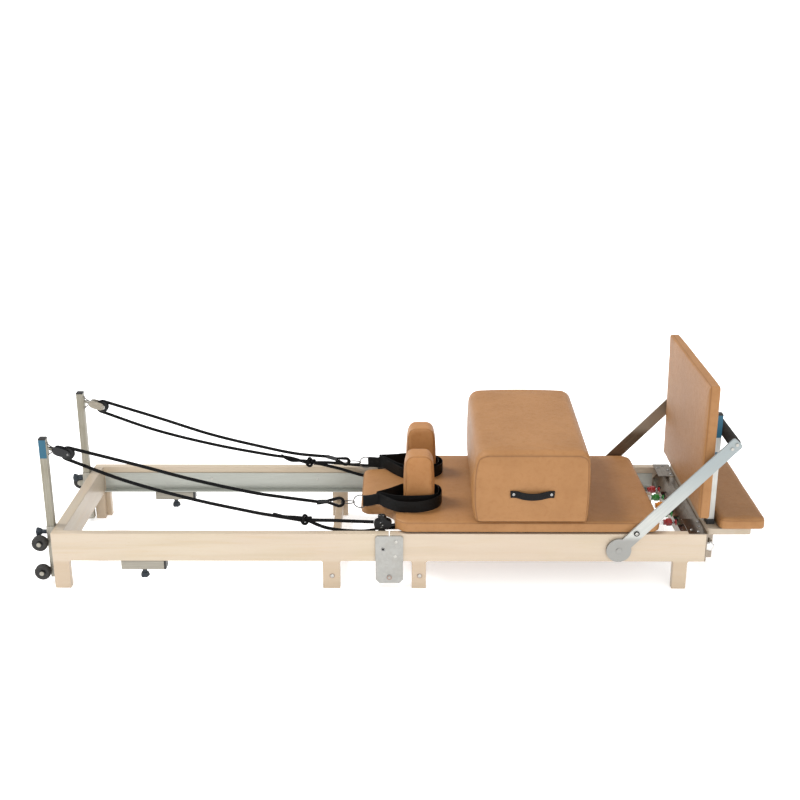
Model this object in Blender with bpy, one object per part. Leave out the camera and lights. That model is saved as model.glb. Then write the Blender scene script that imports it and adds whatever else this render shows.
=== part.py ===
"""Folding pilates reformer: a maple frame that folds in half under itself, with a
sprung carriage, rope pulleys, a foot bar, a jump board and a sitting box.

Metres, +Z up. The object is modelled with X = 0 at the plane where the frame
splits in two, the head end towards -X and the foot end towards +X. One empty
then shifts it, so that the middle of its whole length stands at the origin.
"""
import math

import bmesh
import bpy
from mathutils import Matrix, Vector

# Frame
FRAME_WIDTH = 0.650
HEAD_LENGTH = 1.190
FOOT_LENGTH = 1.113
SPLIT_GAP = 0.004
LEG_HEIGHT = 0.107
RAIL_HEIGHT = 0.106
RAIL_THICKNESS = 0.028
WOOD_EDGE = 0.0015
LEG_FILLET = 0.007
HEAD_END_LEG_WIDTH = 0.056
HEAD_MID_LEG_INSET = 0.175
HEAD_MID_LEG_WIDTH = 0.061
FOOT_MID_LEG_INSET = 0.079
FOOT_MID_LEG_WIDTH = 0.051
FOOT_END_LEG_INSET = 0.060
FOOT_END_LEG_WIDTH = 0.050
BEAM_THICKNESS = 0.038
BEAM_LEG_WIDTH = 0.030
FOOT_BEAM_THICKNESS = 0.034
FOOT_BEAM_DROP = 0.016
STRETCHER_THICKNESS = 0.028
STRETCHER_HEIGHT = 0.045
STRETCHER_FLOOR_GAP = 0.028
TOUCH = 0.0003
FOLD_GAP = 0.011

# Aluminium tracks
TRACK_DROP = 0.025
TRACK_HEIGHT = 0.071
TRACK_THICKNESS = 0.003
TRACK_FLANGE = 0.031
TRACK_END_GAP = 0.004

# Fold hinge plates
PLATE_WIDTH = 0.098
PLATE_HEIGHT = 0.182
PLATE_BELOW_PIVOT = 0.023
PLATE_THICKNESS = 0.003
PLATE_TOP_RADIUS = 0.009
PLATE_CHAMFER = 0.014
PLATE_RUN = 0.0006
SPACER_ABOVE_PIVOT = 0.034
PIVOT_RADIUS = 0.005
PIVOT_HEAD_RADIUS = 0.010
PIVOT_HEAD_HEIGHT = 0.004
RUNNING = 0.0003
EAR_RADIUS = 0.020
LOCK_HOLE_INSET = 0.022
LOCK_HOLE_HEIGHT = 0.109
LOCK_HOLE_RADIUS = 0.0045

# Head posts, sockets and pulleys
POST_SIZE = 0.025
POST_WALL = 0.002
POST_OUTSET = 0.0165
POST_INSET = 0.075
POST_BOTTOM = 0.105
POST_TOP = 0.545
POST_SLIDE_FIT = 0.0004
SOCKET_WALL = 0.0022
SOCKET_BOTTOM = 0.014
SOCKET_TOP = 0.212
SOCKET_BACK_HALF = 0.024
CLAMP_DROP = 0.026
CAP_HEIGHT = 0.006
PULLEY_TILT = math.radians(18.0)
PULLEY_DROP = 0.041
LUG_REACH = 0.014
LUG_THICKNESS = 0.004
LUG_WIDTH = 0.012
LUG_PLATE_HEIGHT = 0.044
LUG_PLATE_THICKNESS = 0.003
PULLEY_REACH = 0.062
SWIVEL_RADIUS = 0.003
CHEEK_THICKNESS = 0.002
CHEEK_HEIGHT = 0.022
CHEEK_GAP = 0.0165
SHEAVE_RADIUS = 0.022
SHEAVE_GROOVE = 0.015
SHEAVE_GROOVE_HALF = 0.0045
SHEAVE_WIDTH = 0.015
SHEAVE_PIN = 0.0035

# Transport wheels
WHEEL_RADIUS = 0.029
WHEEL_WIDTH = 0.024
WHEEL_OUTSET = 0.0535
WHEEL_UPPER_Z = 0.155
WHEEL_LOWER_Z = 0.042
WHEEL_BORE = 0.0045
WHEEL_HUB_WIDTH = 0.026
EAR_PLATE_THICKNESS = 0.003

# Storage sleeves under the head rails
SLEEVE_START = 0.798
SLEEVE_LENGTH = 0.151
SLEEVE_HEIGHT = 0.033
SLEEVE_WIDTH = 0.038
SLEEVE_WALL = 0.002
SLEEVE_CAP = 0.007

# Clamp knobs
KNOB_RADIUS = 0.0165
KNOB_LOBES = 5
KNOB_LOBE_DEPTH = 0.0028
KNOB_HEAD = 0.020
KNOB_NECK_RADIUS = 0.008
KNOB_FLARE = 0.78
KNOB_NECK = 0.012
POST_KNOB_NECK = 0.018
KNOB_STEM_RADIUS = 0.0032
JUMP_KNOB_RADIUS = 0.0185
JUMP_KNOB_HEAD = 0.013
JUMP_KNOB_NECK = 0.007

# Carriage
PAD_CLEARANCE = 0.007
PAD_THICKNESS = 0.041
PAD_CROWN = 0.003
CROWN_REACH = 0.030
CARRIAGE_START = 0.017
CARRIAGE_LENGTH = 0.940
SHOULDER_CHAMFER_X = 0.032
SHOULDER_CHAMFER_Y = 0.030
PAD_CORNER = 0.045
TONGUE_TIP = -0.104
TONGUE_HALF_WIDTH = 0.176
TONGUE_CORNER = 0.040
TONGUE_FLARE = 0.050
DECK_THICKNESS = 0.012
DECK_HALF_WIDTH = 0.275
DECK_START = 0.040
DECK_END_INSET = 0.030
DECK_TONGUE_INSET = 0.035
SIDE_MEMBER_Y = 0.250
SIDE_MEMBER_THICKNESS = 0.012
SIDE_MEMBER_BOTTOM = 0.123
AXLE_FRONT_INSET = 0.113
AXLE_REAR_INSET = 0.127
AXLE_RADIUS = 0.005
ROLLER_RADIUS = 0.020
ROLLER_WIDTH = 0.018
ROLLER_INSET = 0.013
CARRIAGE_TRAVEL = 0.720

# Springs
SPRING_COUNT = 5
SPRING_PITCH_Y = 0.075
SPRING_Z = 0.179
SPRING_ANCHOR = 0.420
SPRING_ANCHOR_BAR = 0.012
SPRING_OUTER_RADIUS = 0.0095
SPRING_WIRE = 0.0028
SPRING_CURLS = 7
SPRING_POINTS_PER_CURL = 8
SPRING_LEAD = 0.030
HANDLE_RADIUS = 0.011
HANDLE_CLEARANCE = 0.0206

# Foot end bracket, jump board and platform
CHANNEL_LENGTH = 0.0624
CHANNEL_BOTTOM = 0.130
CHANNEL_SHOULDER = 0.168
CHANNEL_RIDGE_INSET = 0.023
CHANNEL_END_FIT = 0.0005
SHEET = 0.003
CORNER_PLATE = 0.0020
CORNER_PLATE_LENGTH = 0.062
CORNER_PLATE_INNER = 0.200
JUMP_POST_OUTSET = 0.024
JUMP_POST_INSET = 0.075
JUMP_SOCKET_BOTTOM = 0.095
JUMP_SOCKET_DROP = 0.008
JUMP_POST_BOTTOM = 0.104
JUMP_POST_TOP = 0.638
JUMP_CLAMP_DROP = 0.057
JUMP_PAD_BOTTOM = 0.270
JUMP_PAD_TOP = 0.755
JUMP_PAD_THICKNESS = 0.036
JUMP_PAD_HALF_WIDTH = 0.308
CROSSBAR_HEIGHT = 0.030
CROSSBAR_LOW = 0.330
CROSSBAR_HIGH = 0.590
COLLAR_SIZE = 0.040
COLLAR_HEIGHT = 0.016
BOARD_THICKNESS = 0.022
BOARD_DEPTH = 0.157
BOARD_HALF_WIDTH = 0.308
BOARD_CORNER = 0.012
PLATFORM_PAD_OUTSET = 0.043
PLATFORM_PAD_DEPTH = 0.157
PLATFORM_PAD_THICKNESS = 0.043
PLATFORM_PAD_HALF_WIDTH = 0.321
PLATFORM_PAD_CORNER = 0.020

# Foot bar
BAR_PIVOT_INSET = 0.307
BAR_PIVOT_Z = 0.155
BAR_LENGTH = 0.546
BAR_ANGLE = math.radians(46.7)
BAR_WIDTH = 0.044
BAR_THICKNESS = 0.008
BAR_SIDE_GAP = 0.0036
BAR_SECTOR_RADIUS = 0.044
BAR_END_REACH = 0.015
BAR_END_CORNER = 0.010
BAR_PIN_RADIUS = 0.006
BAR_BOLT_RADIUS = 0.011
BAR_BOLT_HEIGHT = 0.003
BAR_TUBE_RADIUS = 0.0125
GRIP_RADIUS = 0.020
GRIP_END_GAP = 0.002

# Shoulder rests, straps and sitting box
REST_START = 0.051
REST_LENGTH = 0.106
REST_WIDTH = 0.090
REST_HEIGHT = 0.204
REST_SPACING = 0.286
REST_TOP_RADIUS = 0.030
REST_TAPER = 0.006
STRAP_THICKNESS = 0.003
STRAP_HEIGHT = 0.048
STRAP_NEAR_OUTSIDE = 0.252
STRAP_NEAR_INSIDE = 0.090
STRAP_FAR_OUTSIDE = 0.208
STRAP_FAR_INSIDE = 0.060
STRAP_BACK = 0.191
STRAP_CORNER = 0.045
STRAP_FRONT_CORNER_X = 0.063
STRAP_TIP = -0.046
STRAP_END_HEIGHT = 0.020
STRAP_TAB_HEIGHT = 0.043
STRAP_SLOT_LENGTH = 0.014
STRAP_SLOT_WIDTH = 0.0070
BOX_START = 0.306
BOX_LENGTH = 0.386
BOX_HALF_WIDTH = 0.335
BOX_HEIGHT = 0.264
BOX_TOP_RADIUS = 0.036
BOX_BULGE = 0.006

# Rings, eyes and ropes
RING_X = -0.112
RING_Y = 0.192
RING_Z = 0.2870
RING_RADIUS = 0.0215
RING_WIRE = 0.0022
LINK_LENGTH = 0.030
LINK_WIRE = 0.0018
LINK_HALF_HEIGHT = 0.0065
EYE_LENGTH = 0.050
EYE_HEIGHT = 0.028
EYE_WIRE = 0.0045
FERRULE_LENGTH = 0.030
FERRULE_RADIUS = 0.0075
ROPE_DIAMETER = 0.012
ROPE_SIDES_RESOLUTION = 2
SPLICE_GAP = 0.0012
ROPE_RUN_POINTS = 9
ROPE_WRAP_POINTS = 11
ROPE_WRAP_FIT = 0.0010
ROPE_ON = 76.0
ROPE_OFF = 247.0
KNOT_RADIUS = 0.0165
KNOT_X = -0.300
KNOT_Z = 0.2510
KNOT_LENGTH = 0.036
CLEAT_X = -0.022
CLEAT_Y = 0.281
CLEAT_WIDTH = 0.058
CLEAT_DEPTH = 0.026
CLEAT_HEIGHT = 0.044
CLEAT_BRACKET = 0.005
CLEAT_ROPE_Z = 0.2415
UPPER_STRAND = ((-0.370, 0.3000), (-0.500, 0.3250), (-0.700, 0.3780), (-0.900, 0.4410))
LOWER_STRAND = ((-0.925, 0.3850), (-0.700, 0.3210), (-0.490, 0.2755), (-0.400, 0.2600))

# Sizes worked out from the ones above
CHANNEL_START = FOOT_LENGTH - CHANNEL_LENGTH
CHANNEL_RIDGE_X = FOOT_LENGTH - CHANNEL_RIDGE_INSET
HANDLE_AT = CHANNEL_START - HANDLE_CLEARANCE
CARRIAGE_END = CARRIAGE_START + CARRIAGE_LENGTH
AXLE_POSITIONS = (CARRIAGE_START + AXLE_FRONT_INSET, CARRIAGE_END - AXLE_REAR_INSET)
PLATFORM_PAD_START = FOOT_LENGTH + PLATFORM_PAD_OUTSET
PLATFORM_PAD_END = PLATFORM_PAD_START + PLATFORM_PAD_DEPTH
BAR_PIVOT_X = FOOT_LENGTH - BAR_PIVOT_INSET
CROSSBAR_LEVELS = (CROSSBAR_LOW, CROSSBAR_HIGH)
WHEEL_HEIGHTS = (WHEEL_UPPER_Z, WHEEL_LOWER_Z)
RAIL_TOP = LEG_HEIGHT + RAIL_HEIGHT
HALF_WIDTH = FRAME_WIDTH / 2
RAIL_INNER = HALF_WIDTH - RAIL_THICKNESS
FOLD_PIVOT_Z = (LEG_HEIGHT - FOLD_GAP) / 2
TRACK_TOP = RAIL_TOP - TRACK_DROP
TRACK_BOTTOM = TRACK_TOP - TRACK_HEIGHT
ROLLER_Z = TRACK_BOTTOM + TRACK_THICKNESS + TOUCH + ROLLER_RADIUS
PAD_BOTTOM = RAIL_TOP + PAD_CLEARANCE
PAD_TOP = PAD_BOTTOM + PAD_THICKNESS
POST_X = -HEAD_LENGTH - POST_OUTSET
POST_Y = HALF_WIDTH - POST_INSET
WHEEL_X = -HEAD_LENGTH - WHEEL_OUTSET
JUMP_POST_X = FOOT_LENGTH + JUMP_POST_OUTSET
JUMP_POST_Y = HALF_WIDTH - JUMP_POST_INSET
BOARD_BOTTOM = RAIL_TOP - JUMP_SOCKET_DROP + TOUCH
BOARD_TOP = BOARD_BOTTOM + BOARD_THICKNESS
JUMP_SOCKET_TOP = RAIL_TOP - JUMP_SOCKET_DROP
BAR_Y = HALF_WIDTH + BAR_SIDE_GAP
FRAME_SHIFT = -(WHEEL_X - WHEEL_RADIUS + PLATFORM_PAD_END) / 2

NEAR, FAR = -1, 1
SIDES = ((NEAR, "near"), (FAR, "far"))
STRAP_REACH = {NEAR: (STRAP_NEAR_OUTSIDE, STRAP_NEAR_INSIDE), FAR: (STRAP_FAR_OUTSIDE, STRAP_FAR_INSIDE)}

# Finishes: colour, roughness, metallic
FINISHES = {
    "maple": ((0.78, 0.65, 0.48), 0.45, 0.0),
    "vinyl": ((0.52, 0.28, 0.13), 0.45, 0.0),
    "aluminium": ((0.46, 0.48, 0.46), 0.35, 1.0),
    "zinc": ((0.56, 0.56, 0.53), 0.40, 1.0),
    "steel": ((0.52, 0.50, 0.42), 0.38, 1.0),
    "stainless": ((0.60, 0.60, 0.60), 0.25, 1.0),
    "black_plastic": ((0.02, 0.02, 0.022), 0.45, 0.0),
    "slate_plastic": ((0.035, 0.045, 0.06), 0.45, 0.0),
    "tyre": ((0.07, 0.07, 0.07), 0.7, 0.0),
    "foam": ((0.04, 0.037, 0.034), 0.85, 0.0),
    "webbing": ((0.008, 0.008, 0.008), 0.7, 0.0),
    "plywood": ((0.45, 0.33, 0.20), 0.6, 0.0),
    "red": ((0.55, 0.01, 0.01), 0.4, 0.0),
    "green": ((0.02, 0.35, 0.03), 0.4, 0.0),
    "yellow": ((0.75, 0.35, 0.01), 0.4, 0.0),
}
SPRING_COLOURS = ("red", "green", "yellow", "green", "red")


def clear_scene():
    for old in list(bpy.data.objects):
        bpy.data.objects.remove(old, do_unlink=True)


def finish(kind, piece_name):
    """A piece's own Principled material, in one of the finishes above."""
    colour, roughness, metallic = FINISHES[kind]
    material = bpy.data.materials.new(f"{piece_name}_{kind}")
    material.use_nodes = True
    shader = material.node_tree.nodes["Principled BSDF"]
    shader.inputs["Base Color"].default_value = (*colour, 1.0)
    shader.inputs["Roughness"].default_value = roughness
    shader.inputs["Metallic"].default_value = metallic
    material.diffuse_color = (*colour, 1.0)
    return material


def body(name, at, parent):
    """An empty on a moving body's joint axis; at is in frame coordinates."""
    empty = bpy.data.objects.new(name, None)
    empty.empty_display_size = 0.03
    bpy.context.collection.objects.link(empty)
    empty.parent = parent
    empty["frame_at"] = at
    empty.location = Vector(at) - Vector(parent["frame_at"] if parent else (0, 0, 0))
    return empty


def place(name, bm, material, parent, sharp=32.0):
    """Link a mesh built in frame coordinates, with its origin on its body's joint."""
    bmesh.ops.remove_doubles(bm, verts=bm.verts, dist=0.00001)
    bmesh.ops.recalc_face_normals(bm, faces=bm.faces)
    bmesh.ops.translate(bm, verts=bm.verts, vec=-Vector(parent["frame_at"]))
    mesh = bpy.data.meshes.new(name)
    bm.to_mesh(mesh)
    bm.free()
    mesh.shade_smooth()
    mesh.set_sharp_from_angle(angle=math.radians(sharp))
    mesh.materials.append(finish(material, name))
    piece = bpy.data.objects.new(name, mesh)
    bpy.context.collection.objects.link(piece)
    piece.parent = parent
    return piece


def round_edges(piece, width, segments=1, angle=40.0):
    bevel = piece.modifiers.new("edges", "BEVEL")
    bevel.width = width
    bevel.segments = segments
    bevel.limit_method = "ANGLE"
    bevel.angle_limit = math.radians(angle)


def arc(centre, radius, start, end, steps):
    """Points along an arc, angles in degrees, ends included."""
    points = []
    for step in range(steps + 1):
        angle = math.radians(start + (end - start) * step / steps)
        points.append((centre[0] + radius * math.cos(angle), centre[1] + radius * math.sin(angle)))
    return points


def circle(centre, radius, steps=16, phase=0.0):
    return arc(centre, radius, phase, phase + 360.0 * (steps - 1) / steps, steps - 1)


def rounded_rectangle(low, high, radius, steps=4):
    """Outline of a rectangle with rounded corners, counter-clockwise."""
    (x0, y0), (x1, y1) = low, high
    corners = (((x1 - radius, y0 + radius), -90), ((x1 - radius, y1 - radius), 0),
               ((x0 + radius, y1 - radius), 90), ((x0 + radius, y0 + radius), 180))
    outline = []
    for centre, start in corners:
        outline += arc(centre, radius, start, start + 90, steps)
    return outline


def to_xz(y):
    return lambda u, v: Vector((u, y, v))


def to_yz(x):
    return lambda u, v: Vector((x, u, v))


def to_xy(z):
    return lambda u, v: Vector((u, v, z))


def add_prism(bm, outline, plane, depth, holes=()):
    """Extrude a flat outline, with any holes in it, by the depth vector."""
    edges = []
    start = set(bm.faces)
    for loop in (outline, *holes):
        verts = [bm.verts.new(plane(u, v)) for u, v in loop]
        for index, vert in enumerate(verts):
            edges.append(bm.edges.new((vert, verts[(index + 1) % len(verts)])))
    bmesh.ops.triangle_fill(bm, use_beauty=True, use_dissolve=True, edges=edges)
    flat = [face for face in bm.faces if face not in start]
    swept = bmesh.ops.extrude_face_region(bm, geom=flat, use_keep_orig=True)
    moved = [item for item in swept["geom"] if isinstance(item, bmesh.types.BMVert)]
    bmesh.ops.translate(bm, verts=moved, vec=Vector(depth))


def prism(outline, plane, depth, holes=()):
    bm = bmesh.new()
    add_prism(bm, outline, plane, depth, holes)
    return bm


def block(low, high):
    """A box between two corners."""
    bm = bmesh.new()
    size = Vector(high) - Vector(low)
    middle = (Vector(high) + Vector(low)) / 2
    bmesh.ops.create_cube(bm, size=1.0, matrix=Matrix.Translation(middle) @ Matrix.Diagonal((*size, 1.0)))
    return bm


def lathe(profile, base, axis, steps=20):
    """Turn a profile of (radius, height) about an axis through base; radius 0 closes an end."""
    bm = bmesh.new()
    turn = Vector((0, 0, 1)).rotation_difference(Vector(axis)).to_matrix()
    rings = []
    for radius, height in profile:
        if radius == 0:
            rings.append([bm.verts.new(Vector(base) + turn @ Vector((0, 0, height)))])
            continue
        ring = []
        for step in range(steps):
            angle = 2 * math.pi * step / steps
            spot = Vector((radius * math.cos(angle), radius * math.sin(angle), height))
            ring.append(bm.verts.new(Vector(base) + turn @ spot))
        rings.append(ring)
    closed = profile[0][0] != 0
    pairs = list(zip(rings, rings[1:]))
    if closed:
        pairs.append((rings[-1], rings[0]))
    for lower, upper in pairs:
        for step in range(steps):
            after = (step + 1) % steps
            if len(lower) == 1:
                bm.faces.new((lower[0], upper[step], upper[after]))
            elif len(upper) == 1:
                bm.faces.new((lower[step], lower[after], upper[0]))
            else:
                bm.faces.new((lower[step], lower[after], upper[after], upper[step]))
    return bm


def tube_around(points, radius, sides=8):
    """A closed loop of round wire through points, such as a ring or a link."""
    bm = bmesh.new()
    count = len(points)
    centre = sum(points, Vector()) / count
    normal = Vector()
    for index, point in enumerate(points):
        normal += (point - centre).cross(points[(index + 1) % count] - centre)
    normal.normalize()
    rings = []
    for index, point in enumerate(points):
        along = (points[(index + 1) % count] - points[index - 1]).normalized()
        outward = along.cross(normal).normalized()
        ring = []
        for side in range(sides):
            angle = 2 * math.pi * side / sides
            ring.append(bm.verts.new(point + radius * (math.cos(angle) * outward + math.sin(angle) * normal)))
        rings.append(ring)
    for index, ring in enumerate(rings):
        after = rings[(index + 1) % count]
        for side in range(sides):
            turn = (side + 1) % sides
            bm.faces.new((ring[side], ring[turn], after[turn], after[side]))
    return bm


def fuse(pieces):
    """Union overlapping closed meshes into one body and return it as a bmesh."""
    objects = []
    for index, bm in enumerate(pieces):
        bmesh.ops.remove_doubles(bm, verts=bm.verts, dist=0.00001)
        bmesh.ops.recalc_face_normals(bm, faces=bm.faces)
        mesh = bpy.data.meshes.new(f"fuse_{index}")
        bm.to_mesh(mesh)
        bm.free()
        piece = bpy.data.objects.new(f"fuse_{index}", mesh)
        bpy.context.collection.objects.link(piece)
        objects.append(piece)
    base = objects[0]
    for other in objects[1:]:
        union = base.modifiers.new("join", "BOOLEAN")
        union.operation = "UNION"
        union.solver = "EXACT"
        union.object = other
        other.hide_render = True
        other.display_type = "WIRE"
    evaluated = base.evaluated_get(bpy.context.evaluated_depsgraph_get())
    joined = bmesh.new()
    joined.from_mesh(evaluated.to_mesh())
    evaluated.to_mesh_clear()
    for piece in objects:
        bpy.data.objects.remove(piece, do_unlink=True)
    return joined


def inset_outline(outline, distance):
    """Move a counter-clockwise outline inwards by a distance, point by point."""
    count = len(outline)
    moved = []
    for index, (x, y) in enumerate(outline):
        before = Vector(outline[index - 1])
        here = Vector((x, y))
        after = Vector(outline[(index + 1) % count])
        first = (here - before).normalized()
        second = (after - here).normalized()
        normal = Vector((-(first.y + second.y), first.x + second.x))
        if normal.length < 1e-6:
            normal = Vector((-first.y, first.x))
        normal.normalize()
        stretch = max(0.5, normal.dot(Vector((-first.y, first.x))))
        moved.append(tuple(here + normal * distance / stretch))
    return moved


def cushion(outline, thickness, plane, up, crown=0.003, draw=0.004, roll=0.008):
    """A stuffed pad: drawn in at its base, full at mid height, rolled edge and crowned top."""
    levels = (
        (draw + 0.003, 0.0),
        (draw, 0.06 * thickness),
        (0.0, 0.40 * thickness),
        (0.0008, 0.70 * thickness),
        (0.3 * roll, thickness - 0.45 * roll),
        (roll, thickness - crown),
    )
    bm = bmesh.new()
    rings = []
    for inset, height in levels:
        rim = inset_outline(outline, inset)
        rings.append([bm.verts.new(plane(u, v) + Vector(up) * height) for u, v in rim])
    low = [min(point[axis] for point in rim) for axis in (0, 1)]
    high = [max(point[axis] for point in rim) for axis in (0, 1)]
    middle = [(low[axis] + high[axis]) / 2 for axis in (0, 1)]
    shrink = [1 - 2 * CROWN_REACH / (high[axis] - low[axis]) for axis in (0, 1)]
    flat = [(middle[0] + (u - middle[0]) * shrink[0], middle[1] + (v - middle[1]) * shrink[1]) for u, v in rim]
    rings.append([bm.verts.new(plane(u, v) + Vector(up) * thickness) for u, v in flat])
    for lower, upper in zip(rings, rings[1:]):
        for index in range(len(lower)):
            after = (index + 1) % len(lower)
            bm.faces.new((lower[index], lower[after], upper[after], upper[index]))
    for ring in (rings[0], rings[-1]):
        edges = [bm.edges.get((ring[index - 1], ring[index])) for index in range(len(ring))]
        bmesh.ops.triangle_fill(bm, use_beauty=True, use_dissolve=True, edges=edges)
    return bm


def square_tube(centre, size, wall, low, high, cap=0.0):
    """An upright square tube, open below, and closed above when cap is its cap's thickness."""
    x, y = centre
    half = size / 2
    if cap == 0:
        outer = rounded_rectangle((x - half, y - half), (x + half, y + half), 0.002, 2)
        bore = half - wall
        inner = rounded_rectangle((x - bore, y - bore), (x + bore, y + bore), 0.0008, 1)
        return prism(outer, to_xy(low), (0, 0, high - low), [inner])
    bm = bmesh.new()
    levels = ((half - wall, low), (half, low), (half, high - cap), (half + 0.0005, high - cap),
              (half + 0.0005, high - 0.002), (half - 0.0015, high))
    corners = ((-1, -1), (1, -1), (1, 1), (-1, 1))
    rings = []
    for reach, z in levels:
        rings.append([bm.verts.new((x + sx * reach, y + sy * reach, z)) for sx, sy in corners])
    bore = half - wall
    roof = [bm.verts.new((x + sx * bore, y + sy * bore, high - cap)) for sx, sy in corners]
    for lower, upper in (*zip(rings, rings[1:]), (roof, rings[0])):
        for index in range(4):
            after = (index + 1) % 4
            bm.faces.new((lower[index], lower[after], upper[after], upper[index]))
    bm.faces.new(rings[-1])
    bm.faces.new(roof)
    return bm


def rail_outline(start, end, legs):
    """Side view of one rail: a board with its legs sawn out of it, roots filleted."""
    outline = [(start, RAIL_TOP), (end, RAIL_TOP)]
    r = LEG_FILLET
    low = LEG_HEIGHT
    for left, right in sorted(legs, reverse=True):
        if end - right < r:
            outline += [(end, 0.0)]
        else:
            if outline[-1] == (end, RAIL_TOP):
                outline.append((end, low))
            outline += [(x, z) for x, z in arc((right + r, low - r), r, 90, 180, 3)]
            outline.append((right, 0.0))
        outline.append((left, 0.0))
        if left - start < r:
            continue
        outline += [(x, z) for x, z in arc((left - r, low - r), r, 0, 90, 3)]
    if outline[-1][1] != 0.0:
        outline.append((start, low))
    return outline


def make_rails(foot, head):
    head_legs = (
        (-HEAD_LENGTH, -HEAD_LENGTH + HEAD_END_LEG_WIDTH),
        (-HEAD_MID_LEG_INSET - HEAD_MID_LEG_WIDTH, -HEAD_MID_LEG_INSET),
    )
    foot_legs = (
        (FOOT_MID_LEG_INSET, FOOT_MID_LEG_INSET + FOOT_MID_LEG_WIDTH),
        (FOOT_LENGTH - FOOT_END_LEG_INSET - FOOT_END_LEG_WIDTH, FOOT_LENGTH - FOOT_END_LEG_INSET),
    )
    for side, label in SIDES:
        inner = side * RAIL_INNER
        across = (0, side * RAIL_THICKNESS, 0)
        outline = rail_outline(-HEAD_LENGTH, -SPLIT_GAP / 2, head_legs)
        piece = place(f"head_rail_{label}", prism(outline, to_xz(inner), across), "maple", head)
        round_edges(piece, WOOD_EDGE)
        outline = rail_outline(SPLIT_GAP / 2, FOOT_LENGTH, foot_legs)
        pin_hole = circle((BAR_PIVOT_X, BAR_PIVOT_Z), BAR_PIN_RADIUS + RUNNING + 0.0005, 12)
        rail = prism(outline, to_xz(inner), across, [pin_hole])
        piece = place(f"foot_rail_{label}", rail, "maple", foot)
        round_edges(piece, WOOD_EDGE, angle=60.0)


def make_beams(foot, head):
    reach = RAIL_INNER - TOUCH
    inner = reach - BEAM_LEG_WIDTH
    outline = [(-reach, 0.0), (-inner, 0.0)]
    outline += arc((-inner + LEG_FILLET, LEG_HEIGHT - LEG_FILLET), LEG_FILLET, 180, 90, 3)
    outline += arc((inner - LEG_FILLET, LEG_HEIGHT - LEG_FILLET), LEG_FILLET, 90, 0, 3)
    outline += [(inner, 0.0), (reach, 0.0), (reach, RAIL_TOP), (-reach, RAIL_TOP)]
    beam = prism(outline, to_yz(-HEAD_LENGTH), (BEAM_THICKNESS, 0, 0))
    round_edges(place("head_beam", beam, "maple", head), WOOD_EDGE)

    middle = -HEAD_MID_LEG_INSET - HEAD_MID_LEG_WIDTH / 2
    low = (middle - STRETCHER_THICKNESS / 2, -reach, STRETCHER_FLOOR_GAP)
    high = (middle + STRETCHER_THICKNESS / 2, reach, STRETCHER_FLOOR_GAP + STRETCHER_HEIGHT)
    round_edges(place("head_stretcher", block(low, high), "maple", head), WOOD_EDGE)

    low = (FOOT_LENGTH - FOOT_BEAM_THICKNESS, -reach, LEG_HEIGHT)
    high = (FOOT_LENGTH, reach, RAIL_TOP - FOOT_BEAM_DROP)
    round_edges(place("foot_beam", block(low, high), "maple", foot), WOOD_EDGE)


def make_tracks(foot, head):
    """L-section tracks: a web against the rail and a running flange at its foot."""
    runs = (
        ("head_track", -HEAD_LENGTH + BEAM_THICKNESS + TRACK_END_GAP, -SPLIT_GAP / 2, head),
        ("foot_track", SPLIT_GAP / 2, CHANNEL_START - TRACK_END_GAP, foot),
    )
    for side, label in SIDES:
        back = side * (RAIL_INNER - TOUCH)
        web = back - side * TRACK_THICKNESS
        edge = back - side * TRACK_FLANGE
        outline = [(back, TRACK_BOTTOM), (back, TRACK_TOP), (web, TRACK_TOP),
                   (web, TRACK_BOTTOM + TRACK_THICKNESS), (edge, TRACK_BOTTOM + TRACK_THICKNESS),
                   (edge, TRACK_BOTTOM)]
        for name, start, end, owner in runs:
            place(f"{name}_{label}", prism(outline, to_yz(start), (end - start, 0, 0)), "aluminium", owner)


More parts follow.
